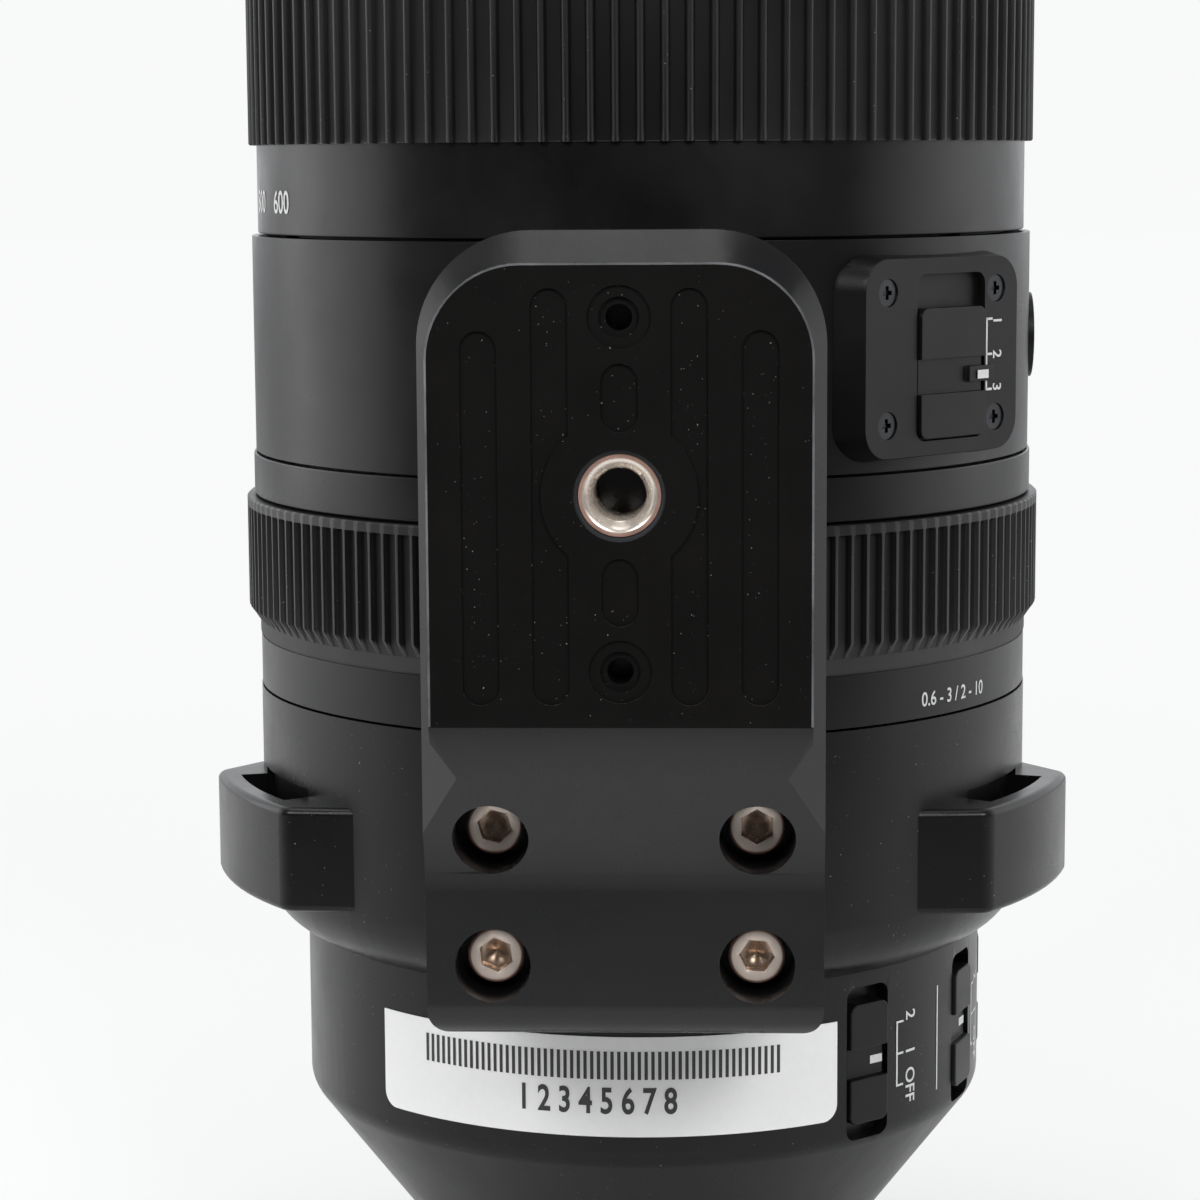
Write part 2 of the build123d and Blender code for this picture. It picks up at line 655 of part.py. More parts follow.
def focus_cell():
    seat_r = FOCUS_GLASS_R + SEAT
    outer = seat_r + CELL_WALL
    z1 = FOCUS_CELL_Z + FOCUS_CELL_H
    cell = turned([(seat_r - CELL_STEP, FOCUS_CELL_Z), (outer, FOCUS_CELL_Z), (outer, z1), (seat_r, z1),
                   (seat_r, FOCUS_CELL_Z + CELL_WALL), (seat_r - CELL_STEP, FOCUS_CELL_Z + CELL_WALL)])
    ear_r = ROD_R + CELL_WALL
    for x, y in rod_places():
        arm = Pos(x * (ROD_PCR + outer) / 2 / ROD_PCR, 0, FOCUS_CELL_Z + FOCUS_CELL_H / 2) * Box(
            ROD_PCR - outer + CELL_STEP, ear_r, FOCUS_CELL_H)
        ear = Pos(x, y, FOCUS_CELL_Z + FOCUS_CELL_H / 2) * Cylinder(ear_r, FOCUS_CELL_H)
        cell += arm + ear
    for x, y in rod_places():
        cell -= Pos(x, y, FOCUS_CELL_Z + FOCUS_CELL_H / 2) * Cylinder(ROD_R + RUN, FOCUS_CELL_H + OVER)
    return cell


def focus_glass():
    return lens_glass(FOCUS_GLASS_R, FOCUS_GLASS_T, CELL_STEP, CELL_STEP, FOCUS_CELL_Z + CELL_WALL)


def focus_motor():
    z0 = focus_base_z() + FOCUS_BASE_T
    block = facing(180) * Pos(0, z0 + MOTOR_H / 2, MOTOR_PCR) * Box(MOTOR_W, MOTOR_H, MOTOR_D)
    return block


# Iris

def iris_housing():
    """Round box for the leaves, with pivot holes, a ledge for the drive ring and a rolled lip."""
    outer = TUBE_R + GAP - SEAT
    ledge_r = IRIS_RING_R - IRIS_LEDGE
    bore_r = IRIS_RING_R + GAP
    lip_r = IRIS_RING_R - IRIS_LIP
    ring_z = iris_ring_z()
    lip_z = ring_z + IRIS_RING_T + 2 * SEAT
    top = IRIS_Z + IRIS_WALL_H
    housing = turned([(IRIS_OPEN_R, IRIS_Z), (outer, IRIS_Z), (outer, top), (lip_r, top), (lip_r, lip_z),
                      (bore_r, lip_z), (bore_r, ring_z), (ledge_r, ring_z), (ledge_r, IRIS_Z + IRIS_BASE_T),
                      (IRIS_OPEN_R, IRIS_Z + IRIS_BASE_T)])
    pivot_hole = Cylinder(BLADE_PIN_R + RUN, 2 * IRIS_BASE_T - 2 * BLADE_T)
    for i in range(BLADE_COUNT):
        x, y = polar(BLADE_PIVOT_R, i * 360 / BLADE_COUNT)
        housing -= Pos(x, y, IRIS_Z + IRIS_BASE_T) * pivot_hole
    return housing


def iris_blade(number):
    """Curved leaf with a pivot pin into the housing and a lever pin into the drive ring."""
    z = IRIS_Z + IRIS_BASE_T + BLADE_PITCH * (number + 1)
    azimuth = number * 360 / BLADE_COUNT
    leaf = sector(IRIS_OPEN_R + GAP, BLADE_OUT_R, azimuth, azimuth + BLADE_ARC, z, z + BLADE_T)
    pivot = polar(BLADE_PIVOT_R, azimuth)
    half = radians(BLADE_SWING / 2)
    a = radians(azimuth)
    lever = (pivot[0] + BLADE_LEVER * sin(a - half), pivot[1] - BLADE_LEVER * cos(a - half))
    root = polar(BLADE_OUT_R - BLADE_TAB / 2, azimuth + degrees(BLADE_TAB / BLADE_OUT_R))
    rounds = [Pos(*pivot) * Circle(BLADE_TAB), Pos(*lever) * Circle(BLADE_TAB / 2), Pos(*root) * Circle(BLADE_TAB)]
    tab = make_hull([edge for circle in rounds for edge in circle.edges()])
    leaf += extrude(Pos(0, 0, z) * tab, BLADE_T)
    pin_z = IRIS_Z + BLADE_T + RUN
    leaf += Pos(*pivot, (pin_z + z) / 2 + BLADE_T / 2) * Cylinder(BLADE_PIN_R, z - pin_z + BLADE_T)
    top = iris_ring_z() + IRIS_RING_T
    leaf += Pos(*lever, (z + top) / 2) * Cylinder(BLADE_PIN_R / 2, top - z)
    return leaf


def iris_ring_z():
    return IRIS_Z + IRIS_BASE_T + BLADE_PITCH * (BLADE_COUNT + 1) + BLADE_T


def iris_ring():
    """Drive ring with one short radial slot for each blade's lever pin."""
    z = iris_ring_z()
    ring = tube(IRIS_RING_R, IRIS_OPEN_R, z, z + IRIS_RING_T)
    half = radians(BLADE_SWING / 2)
    across = BLADE_LEVER * sin(half)
    reach = BLADE_PIVOT_R + BLADE_LEVER * cos(half)
    offset = degrees(across / reach)
    for i in range(BLADE_COUNT):
        slot = SlotCenterToCenter(BLADE_PIN_R, BLADE_PIN_R + 2 * RUN, rotation=90)
        cutter = extrude(Pos(0, -hypot(reach, across)) * slot, IRIS_RING_T + OVER)
        ring -= Rot(0, 0, i * 360 / BLADE_COUNT - offset) * Pos(0, 0, z - OVER / 2) * cutter
    return ring


# Fixed barrels

def chassis():
    """Casting that carries the collar, the guide barrel and the outer sleeve."""
    lip_z = COLLAR_Z + LIP_H
    inner = CHASSIS_R - CHASSIS_WALL
    top = DISTANCE_Z + DISTANCE_H
    return turned([(FLANGE_BORE_R, HOUSING_Z), (HOUSING_R, HOUSING_Z), (HOUSING_R, lip_z), (CHASSIS_R, lip_z),
                   (CHASSIS_R, top), (inner, top), (inner, lip_z + FLANGE_H),
                   (FLANGE_BORE_R, lip_z + FLANGE_H)])


def guide_barrel():
    z0 = COLLAR_Z + LIP_H + FLANGE_H
    barrel = tube(GUIDE_R, GUIDE_R - GUIDE_WALL, z0, FRONT_Z - GROOVE)
    pin_z = TUBE_Z + PIN_INSET
    variator_z = VARIATOR_Z + VARIATOR_H / 2
    for azimuth in FRONT_PIN_AZIMUTHS:
        barrel -= straight_slot(azimuth, pin_z, pin_z + EXTENSION)
    for azimuth in VARIATOR_PIN_AZIMUTHS:
        barrel -= straight_slot(azimuth, variator_z, variator_z + VARIATOR_TRAVEL)
    return barrel


def outer_sleeve():
    """Fixed sleeve under the focus ring; its rear flange is the ring with the distance window's scale."""
    flange_z = DISTANCE_Z + DISTANCE_H
    sleeve = turned([(CAM_R + GAP, DISTANCE_Z), (DISTANCE_R, DISTANCE_Z), (DISTANCE_R, flange_z),
                     (SLEEVE_R, flange_z), (SLEEVE_R, ZOOM_Z - GROOVE), (CAM_R + GAP, ZOOM_Z - GROOVE)])
    for azimuth in BUTTON_AZIMUTHS.values():
        sleeve -= radial_pin(azimuth, BUTTON_Z, BUTTON_R + RUN, BUTTON_FLOOR_R, SLEEVE_R + OVER)
    return sleeve


def lower_band():
    return tube(LOWER_BAND_R, SLEEVE_R + SEAT, LOWER_BAND_Z, LOWER_BAND_Z + LOWER_BAND_H)


def control_band():
    band = tube(CONTROL_R, SLEEVE_R + SEAT, CONTROL_Z, CONTROL_Z + CONTROL_H)
    for azimuth in BUTTON_AZIMUTHS.values():
        band -= radial_pin(azimuth, BUTTON_Z, BUTTON_R + RUN, SLEEVE_R - OVER, CONTROL_R + OVER)
    return band


def hold_button(azimuth):
    top = CONTROL_R + BUTTON_PROUD
    cap = radial_pin(azimuth, BUTTON_Z, BUTTON_R, top - BUTTON_T, top)
    dish = radial_pin(azimuth, BUTTON_Z, BUTTON_DISH_R, top - BUTTON_DISH, top + OVER)
    return cap - dish


# Torque panel on the control band

def torque_panel():
    """Raised plate whose sides spread onto the band, with a pocket for the slider."""
    top = RectangleRounded(PANEL_W, PANEL_H, PANEL_ROUND)
    foot_round = PANEL_ROUND + PANEL_SPREAD / 2
    foot = RectangleRounded(PANEL_W + 2 * PANEL_SPREAD, PANEL_H + PANEL_SPREAD, foot_round)
    foot_p = sqrt(CONTROL_R ** 2 - (PANEL_W / 2 + PANEL_SPREAD) ** 2) - SEAT
    plate = loft([Pos(0, 0, foot_p) * foot, Pos(0, 0, PANEL_P) * top], ruled=True)
    pocket_l = TORQUE_L + TORQUE_TRAVEL + 2 * TORQUE_PLAY
    pocket_z = TORQUE_Z0 + (TORQUE_L + TORQUE_TRAVEL) / 2 - PANEL_Z
    pocket = rounded_slider(TORQUE_W + 2 * TORQUE_PLAY, pocket_l, SLIDER_ROUND + TORQUE_PLAY,
                            PANEL_P - TORQUE_FLOOR, PANEL_P + OVER)
    plate -= Pos(TORQUE_X, pocket_z, 0) * pocket
    depth = PANEL_SCREW_L + OVER
    for x, y in panel_screw_places():
        plate -= Pos(x, y, PANEL_P + OVER - depth / 2) * Cylinder(PANEL_SCREW_R + SEAT, depth)
    placed = facing(PANEL_AZIMUTH) * Pos(0, PANEL_Z, 0) * plate
    core = Pos(0, 0, PANEL_Z) * Cylinder(CONTROL_R + SEAT, 2 * PANEL_H)
    return placed - core


def panel_screw_places():
    return [(sx * PANEL_SCREW_DX, sy * PANEL_SCREW_DZ) for sx in (-1, 1) for sy in (-1, 1)]


def panel_screws():
    length = PANEL_SCREW_L - PANEL_SCREW_SINK
    screw = Cylinder(PANEL_SCREW_R, length)
    socket = Box(PANEL_SCREW_R, PANEL_SCREW_R / 3, length)
    screw -= Pos(0, 0, length / 2) * (socket + Rot(0, 0, 90) * socket)
    d = PANEL_P - PANEL_SCREW_SINK - length / 2
    return [facing(PANEL_AZIMUTH) * Pos(x, PANEL_Z + y, d) * screw for x, y in panel_screw_places()]


def torque_switch():
    """Slider with an index tab that points at the marks beside its pocket."""
    z = TORQUE_Z0 + TORQUE_L / 2
    pads = rounded_slider(TORQUE_W, TORQUE_L, SLIDER_ROUND, PANEL_P - TORQUE_FLOOR, PANEL_P + TORQUE_PROUD)
    valley_p = PANEL_P + TORQUE_PROUD - TORQUE_VALLEY
    pads -= Pos(0, TORQUE_VALLEY_Z - z, valley_p + OVER) * Box(TORQUE_W + OVER, TORQUE_VALLEY_L, 2 * OVER)
    tab_w = TORQUE_W / 4 + TORQUE_PLAY + INDEX_L
    tab = Pos(TORQUE_W / 4 + tab_w / 2, TORQUE_VALLEY_Z - z, PANEL_P + SEAT + INDEX_T / 2) * Box(
        tab_w, INDEX_W, INDEX_T)
    web = Pos(TORQUE_W * 3 / 8, TORQUE_VALLEY_Z - z, PANEL_P - TORQUE_VALLEY / 2) * Box(
        TORQUE_W / 4, INDEX_W, TORQUE_VALLEY + 2 * SEAT)
    slider = pads + tab + web
    return facing(PANEL_AZIMUTH) * Pos(TORQUE_X, z, 0) * slider


# Focus and zoom rings

def focus_sleeve():
    """Metal ring under the rubber, with a bare rim at its rear end."""
    z0, z1, rim_z = DISTANCE_Z + DISTANCE_H, FOCUS_Z + FOCUS_H, FOCUS_Z + FOCUS_RIM_H
    bore = SLEEVE_R + GAP
    return turned([(bore, z0), (FOCUS_SLEEVE_R, z0), (FOCUS_SLEEVE_R, FOCUS_Z), (FOCUS_RIM_R, FOCUS_Z),
                   (FOCUS_RIM_R, rim_z), (FOCUS_SLEEVE_R, rim_z), (FOCUS_SLEEVE_R, z1), (bore, z1)])


def focus_grip():
    """Rubber with a smooth front edge and a bevelled rear edge."""
    z0 = FOCUS_Z + FOCUS_RIM_H
    z1 = FOCUS_Z + FOCUS_H
    inner = FOCUS_SLEEVE_R + SEAT
    ring = ribbed_ring(FOCUS_R, inner, FOCUS_RIBS, z0, z1 - FOCUS_CUFF_H)
    envelope = turned([(SLEEVE_R, z0), (FOCUS_R - FOCUS_BEVEL, z0), (FOCUS_R, z0 + FOCUS_BEVEL_H),
                       (FOCUS_R, z1), (SLEEVE_R, z1)])
    return (ring & envelope) + tube(FOCUS_R, inner, z1 - FOCUS_CUFF_H, z1)


def cam_barrel():
    barrel = tube(CAM_R, CAM_R - CAM_WALL, DISTANCE_Z + DISTANCE_H, FRONT_Z - GROOVE)
    pin_z = TUBE_Z + PIN_INSET
    variator_z = VARIATOR_Z + VARIATOR_H / 2
    cutters = []
    for azimuth in FRONT_PIN_AZIMUTHS:
        cutters += helical_slot(azimuth, pin_z, pin_z + EXTENSION)
    for azimuth in VARIATOR_PIN_AZIMUTHS:
        cutters += helical_slot(azimuth, variator_z, variator_z + VARIATOR_TRAVEL)
    for cutter in cutters:
        barrel -= cutter
    return barrel


def zoom_sleeve():
    return tube(ZOOM_SLEEVE_R, CAM_R + SEAT, ZOOM_Z, ZOOM_Z + ZOOM_H)


def zoom_grip():
    return ribbed_ring(ZOOM_R, ZOOM_SLEEVE_R + SEAT, ZOOM_RIBS, ZOOM_Z + GRIP_MARGIN,
                       ZOOM_Z + ZOOM_H - GRIP_FRONT_MARGIN)


# Sliding groups

def front_tube():
    z1 = FRONT_Z + TUBE_GRIP
    barrel = tube(TUBE_R, TUBE_R - TUBE_WALL, TUBE_Z, z1)
    bore_r = TUBE_R - TUBE_WALL
    for azimuth in FRONT_PIN_AZIMUTHS:
        barrel -= radial_pin(azimuth, TUBE_Z + PIN_INSET, PIN_R + SEAT, bore_r - OVER, TUBE_R + OVER)
    return barrel


def follower_pins(azimuths, z, d0):
    """Pins that reach through the guide barrel into the cam barrel."""
    return [radial_pin(azimuth, z, PIN_R, d0, CAM_R - CAM_WALL / 4) for azimuth in azimuths]


def front_pins():
    return follower_pins(FRONT_PIN_AZIMUTHS, TUBE_Z + PIN_INSET, TUBE_R - TUBE_WALL + SEAT)


def variator_cell():
    outer = TUBE_R
    seat_r = VARIATOR_GLASS_R + SEAT
    z0, z1 = VARIATOR_Z, VARIATOR_Z + VARIATOR_H
    floor_z = z0 + CELL_WALL
    cell = turned([(seat_r - CELL_STEP, z0), (outer, z0), (outer, z1), (outer - CELL_WALL, z1),
                   (outer - CELL_WALL, floor_z), (seat_r + CELL_WALL, floor_z), (seat_r + CELL_WALL, z1),
                   (seat_r, z1), (seat_r, floor_z), (seat_r - CELL_STEP, floor_z)])
    for azimuth in VARIATOR_PIN_AZIMUTHS:
        cell -= radial_pin(azimuth, z0 + VARIATOR_H / 2, PIN_R + SEAT, outer - CELL_WALL - OVER, outer + OVER)
    return cell


def variator_pins():
    return follower_pins(VARIATOR_PIN_AZIMUTHS, VARIATOR_Z + VARIATOR_H / 2, TUBE_R - CELL_WALL + SEAT)


def variator_glass():
    return lens_glass(VARIATOR_GLASS_R, VARIATOR_GLASS_T, CELL_STEP, CELL_STEP, VARIATOR_Z + CELL_WALL)


def front_housing():
    """Front rim with the filter thread, the hood groove and the seats of the front glasses."""
    seat_z = FRONT_END - FRONT_SEAT_DEPTH
    grip_z = FRONT_Z + TUBE_GRIP + SEAT
    groove_z = FRONT_END - HOOD_GROOVE_Z
    glass_r = FRONT_GLASS_R + SEAT
    return turned([(TUBE_R + SEAT, FRONT_Z), (FRONT_R, FRONT_Z), (FRONT_R, groove_z),
                   (FRONT_R - HOOD_GROOVE, groove_z), (FRONT_R - HOOD_GROOVE, groove_z + HOOD_GROOVE_W),
                   (FRONT_R, groove_z + HOOD_GROOVE_W), (FRONT_R, FRONT_END - RIM_CHAMFER),
                   (FRONT_R - RIM_CHAMFER, FRONT_END), (FILTER_R + RIM_CHAMFER, FRONT_END),
                   (FILTER_R, FRONT_END - RIM_CHAMFER), (FILTER_R, FRONT_END - FILTER_L),
                   (glass_r, FRONT_END - FILTER_L), (glass_r, seat_z), (FRONT_SEAT_BORE_R, seat_z),
                   (FRONT_SEAT_BORE_R, grip_z), (TUBE_R + SEAT, grip_z)])


def front_glass():
    z0 = FRONT_END - FRONT_SEAT_DEPTH
    return lens_glass(FRONT_GLASS_R, FRONT_GLASS_EDGE, FRONT_GLASS_SAG, FRONT_GLASS_HOLLOW, z0)


def retaining_ring():
    """Screwed ring over the rim of the front glass, coned to clear its face."""
    z0 = FRONT_END - FRONT_SEAT_DEPTH + FRONT_GLASS_EDGE + SEAT
    inner = FRONT_GLASS_R - RETAINER_W
    z1 = z0 + RETAINER_T
    return turned([(FRONT_GLASS_R, z0), (FRONT_GLASS_R, z1), (inner, z1), (inner, z0 + RETAINER_CONE)])


# Tripod collar

def collar_ring():
    """Ring with a rounded rear edge, two strap lugs, the foot's pad and the knob's boss."""
    top = COLLAR_Z + COLLAR_H
    arc_top = COLLAR_Z + COLLAR_ARC_R - GAP
    centre_r = COLLAR_R - COLLAR_ARC_R
    toe_r = LIP_R + GAP
    toe_z = arc_top - sqrt(COLLAR_ARC_R ** 2 - (toe_r - centre_r) ** 2)
    half = COLLAR_ARC_R / sqrt(2)
    bore = CHASSIS_R + GAP
    lip_z = COLLAR_Z + LIP_H
    section = make_face([
        ThreePointArc((COLLAR_R, 0, arc_top), (centre_r + half, 0, arc_top - half), (toe_r, 0, toe_z)),
        Polyline((toe_r, 0, toe_z), (LIP_R, 0, COLLAR_Z), (LIP_R, 0, lip_z), (bore, 0, lip_z),
                 (bore, 0, top), (COLLAR_R, 0, top), (COLLAR_R, 0, arc_top))])
    ring = revolve(section, Axis.Z)
    pad = Pos(0, -PAD_D / 2, (FOOT_Z0 + STEM_Z1) / 2) * Box(FOOT_W, PAD_D, STEM_Z1 - FOOT_Z0)
    pad &= Pos(0, 0, COLLAR_Z + COLLAR_H / 2) * Box(4 * COLLAR_R, 4 * COLLAR_R, COLLAR_H)
    boss = radial_pin(KNOB_AZIMUTH, KNOB_Z, BOSS_R, bore, BOSS_D)
    core = Pos(0, 0, (COLLAR_Z + top) / 2) * Cylinder(bore + GAP, 2 * COLLAR_H)
    ring += pad - core
    ring += boss - core
    for side in (-1, 1):
        ring += strap_lug(side * LUG_AZIMUTH) - core
        ring -= strap_slot(side * LUG_AZIMUTH)
    ring -= radial_pin(KNOB_AZIMUTH, KNOB_Z, LOCK_SCREW_R + RUN, bore - OVER, BOSS_D + OVER)
    for x, z in foot_screw_places():
        ring -= facing(0) * Pos(x, z, (PAD_D + FOOT_SCREW_END_D) / 2) * Cylinder(
            FOOT_SHANK_R + RUN, PAD_D - FOOT_SCREW_END_D + 2 * SEAT)
    return ring


def strap_lug(azimuth):
    """Bridge over a strap slot, drawn in plan and rounded along its edges."""
    root_r = COLLAR_R - GAP
    a0, a1 = azimuth - LUG_FOOT_HALF, azimuth + LUG_FOOT_HALF
    b0, b1 = azimuth - LUG_TOP_HALF, azimuth + LUG_TOP_HALF
    outline = make_face([
        Line(polar(root_r, a0), polar(LUG_R, b0)),
        ThreePointArc(polar(LUG_R, b0), polar(LUG_R, azimuth), polar(LUG_R, b1)),
        Line(polar(LUG_R, b1), polar(root_r, a1)),
        ThreePointArc(polar(root_r, a1), polar(root_r, azimuth), polar(root_r, a0))])
    corners = [v for v in outline.vertices() if hypot(v.X, v.Y) > LUG_R - GAP]
    outline = fillet(corners, LUG_WALL)
    lug = extrude(Pos(0, 0, LUG_Z0) * outline, LUG_Z1 - LUG_Z0)
    rims = [e for e in lug.edges() if min(abs(e.center().Z - LUG_Z0), abs(e.center().Z - LUG_Z1)) < SEAT
            and hypot(e.center().X, e.center().Y) > COLLAR_R + LUG_ROUND]
    return fillet(rims, LUG_ROUND)


def strap_slot(azimuth):
    """Cutter for the gap between a lug's bridge and the collar."""
    return sector(LUG_RECESS_R, LUG_R - LUG_WALL, azimuth - LUG_SLOT_HALF, azimuth + LUG_SLOT_HALF,
                  LUG_Z0 - OVER, LUG_Z1 + OVER)


def foot_screw_places():
    return [(sx * FOOT_SCREW_X, FOOT_SCREW_Z + sz * FOOT_SCREW_DZ) for sx in (-1, 1) for sz in (-1, 1)]


def lock_knob():
    """Knob with shallow flutes on a screw that presses on the chassis when it is tightened."""
    d0 = BOSS_D + GAP
    knob = radial_pin(KNOB_AZIMUTH, KNOB_Z, KNOB_R, d0, d0 + KNOB_H)
    flute = Cylinder(KNOB_LOBE_R, KNOB_H)
    for i in range(KNOB_LOBES):
        a = i * 2 * pi / KNOB_LOBES
        place = Pos(KNOB_R * cos(a), KNOB_Z + KNOB_R * sin(a), d0 + KNOB_H / 2 + KNOB_LOBE_R)
        knob -= facing(KNOB_AZIMUTH) * place * flute
    return knob + radial_pin(KNOB_AZIMUTH, KNOB_Z, LOCK_SCREW_R, CHASSIS_R + GAP, d0)


# Foot

def foot_outline(width, z1, front_round):
    """Plan of the foot at one depth: square heel inside the stem, rounded front corners."""
    z0 = FOOT_Z0
    outline = Pos(0, (z0 + z1) / 2) * Rectangle(width, z1 - z0)
    front = outline.vertices().group_by(Axis.Y)[-1]
    outline = fillet(front, front_round)
    return outline


def foot():
    """Foot: plate with dovetail edges on a stem that sweeps down to the collar's pad."""
    full = foot_outline(FOOT_W, RIM_Z1, RIM_ROUND)
    heel = full.vertices().group_by(Axis.Y)[0]
    full = fillet(heel, HEEL_ROUND)
    vee_z1 = FACE_Z1 - (FACE_W - VEE_W) / 2
    vee_round = FACE_ROUND - (FACE_W - VEE_W) / 2
    rim = foot_outline(FOOT_W, RIM_Z1, RIM_ROUND)
    vee = foot_outline(VEE_W, vee_z1, vee_round)
    face = foot_outline(FACE_W, FACE_Z1, FACE_ROUND)
    edge_d = FOOT_D - LIP_T
    body = Pos(0, 0, PAD_D) * extrude(full, VEE_TOP_D - PAD_D)
    body += loft([Pos(0, 0, VEE_TOP_D) * rim, Pos(0, 0, VEE_D) * vee], ruled=True)
    body += loft([Pos(0, 0, VEE_D) * vee, Pos(0, 0, edge_d) * face], ruled=True)
    body += Pos(0, 0, edge_d) * extrude(face, LIP_T)
    block = facing(0) * body & foot_side()
    for cutter in foot_cutters():
        block -= facing(0) * cutter
    return block


def foot_side():
    """Side view of the foot, extruded across its width."""
    slope_z = HEEL_TOP_Z + (FOOT_D - HEEL_TOP_D) / 2
    corners = [(-PAD_D, FOOT_Z0), (-HEEL_D, FOOT_Z0), (-HEEL_TOP_D, slope_z), (-FOOT_D, FACE_Z0),
               (-FOOT_D, RIM_Z1), (-PLATE_D, RIM_Z1), (-PLATE_D, STEM_Z1), (-PAD_D, STEM_Z1)]
    side = make_face(Polyline([(0, y, z) for y, z in corners], close=True))
    for (y, z), radius in ((corners[1], HEEL_EDGE), (corners[2], SLOPE_ROUND), (corners[6], STEM_ROUND)):
        corner = side.vertices().sort_by_distance((0, y, z))[0]
        side = fillet(corner, radius)
    return extrude(side, FOOT_W, both=True)


def foot_cutters():
    """Holes and grooves of the foot, in the frame that looks out at the foot."""
    cutters = []
    for x, z in foot_screw_places():
        seat_d = FOOT_HEAD_D - FOOT_HEAD_H
        cutters.append(Pos(x, z, (seat_d + FOOT_D) / 2) * Cylinder(COUNTERBORE_R, FOOT_D - seat_d))
        cutters.append(Pos(x, z, (PAD_D + seat_d) / 2) * Cylinder(FOOT_SHANK_R + RUN, seat_d - PAD_D + OVER))
    bore_l = INSERT_L + INSERT_RECESS
    cutters.append(Pos(0, INSERT_Z, FOOT_D - bore_l / 2) * Cylinder(INSERT_R + SEAT, bore_l))
    cutters.append(Pos(0, INSERT_Z, FOOT_D) * Cylinder(INSERT_RECESS_R, 2 * INSERT_RECESS))
    land = Pos(0, INSERT_Z, FOOT_D) * Cylinder(LAND_R, 2 * OVER)
    for side in (-1, 1):
        z = INSERT_Z + side * STOP_HOLE_DZ
        cutters.append(Pos(0, z, FOOT_D - STOP_HOLE_L / 2) * Cylinder(STOP_HOLE_R, STOP_HOLE_L))
        cutters.append(Pos(0, z, FOOT_D) * Cylinder(STOP_STEP_R, 2 * STOP_STEP))
        cutters.append(Pos(0, z, FOOT_D) * Cylinder(STOP_RING_R, 2 * PAD_GROOVE))
        cutters.append(groove(0, INSERT_Z + side * SHORT_GROOVE_DZ, SHORT_GROOVE_L))
        cutters.append(groove(side * OUTER_GROOVE_X, GROOVE_Z0 + OUTER_GROOVE_L / 2, OUTER_GROOVE_L))
        cutters.append(groove(side * INNER_GROOVE_X, GROOVE_Z0 + INNER_GROOVE_L / 2, INNER_GROOVE_L) - land)
    return cutters


def groove(x, z, length):
    """Shallow round-ended groove in the bottom face of the foot."""
    outline = SlotOverall(length, PAD_GROOVE_W, rotation=90)
    return Pos(x, z, FOOT_D - PAD_GROOVE) * extrude(outline, 2 * PAD_GROOVE)


def foot_insert():
    """Steel bush with the tripod thread and a wide conical mouth."""
    top = FOOT_D - INSERT_RECESS
    z = -(top - INSERT_L)
    mouth = INSERT_MOUTH_R - INSERT_BORE_R
    section = make_face(Polyline([(INSERT_BORE_R, 0, -z), (INSERT_R, 0, -z), (INSERT_R, 0, top),
                                  (INSERT_MOUTH_R, 0, top), (INSERT_BORE_R, 0, top - mouth)], close=True))
    return facing(0) * Pos(0, INSERT_Z, 0) * revolve(section, Axis.Z)


def foot_screws():
    """Socket head screws with a chamfered head and a hexagon socket."""
    shank_l = FOOT_HEAD_D - FOOT_HEAD_H - FOOT_SCREW_END_D
    head = Pos(0, 0, FOOT_HEAD_D - FOOT_HEAD_H / 2) * Cylinder(FOOT_HEAD_R, FOOT_HEAD_H)
    rim = head.edges().filter_by(GeomType.CIRCLE).sort_by(Axis.Z)[-1]
    head = chamfer(rim, HEAD_CHAMFER)
    hexagon = RegularPolygon(FOOT_HEX_AF / 2, 6, major_radius=False)
    head -= Pos(0, 0, FOOT_HEAD_D - FOOT_HEX_DEPTH) * extrude(hexagon, FOOT_HEX_DEPTH + OVER)
    shank = Pos(0, 0, FOOT_SCREW_END_D + shank_l / 2) * Cylinder(FOOT_SHANK_R, shank_l)
    screw = head + shank
    return [facing(0) * Pos(x, z, 0) * screw for x, z in foot_screw_places()]

SINGLE_NODES = (
    mount_plate, mount_screws, mount_seal, contact_block, contact_pins, rear_housing, stock_label,
    rear_baffle, rear_cell, rear_glass, circuit_board, focus_base, focus_rods, focus_motor, focus_cell,
    focus_glass, iris_housing, iris_ring, chassis, guide_barrel, outer_sleeve, lower_band, control_band,
    torque_panel, panel_screws, torque_switch, focus_sleeve, focus_grip, cam_barrel, zoom_sleeve,
    zoom_grip, front_tube, front_pins, front_housing, front_glass, retaining_ring, variator_cell,
    variator_pins, variator_glass, collar_ring, lock_knob, foot, foot_insert, foot_screws)


def nodes():
    """Every node's name and shape."""
    for make in SINGLE_NODES:
        yield make.__name__, make()
    for number in range(BLADE_COUNT):
        yield f"iris_blade_{number + 1}", iris_blade(number)
    for name, azimuth in SWITCH_AZIMUTHS.items():
        yield name, slide_switch(azimuth)
    for name, azimuth in BUTTON_AZIMUTHS.items():
        yield name, hold_button(azimuth)


os.makedirs("parts", exist_ok=True)
for name, shape in nodes():
    if isinstance(shape, list):
        shape = Compound(children=shape)
    export_step(shape, f"parts/{name}.step")
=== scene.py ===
import math

import bmesh
import bpy
from mathutils import Matrix, Vector


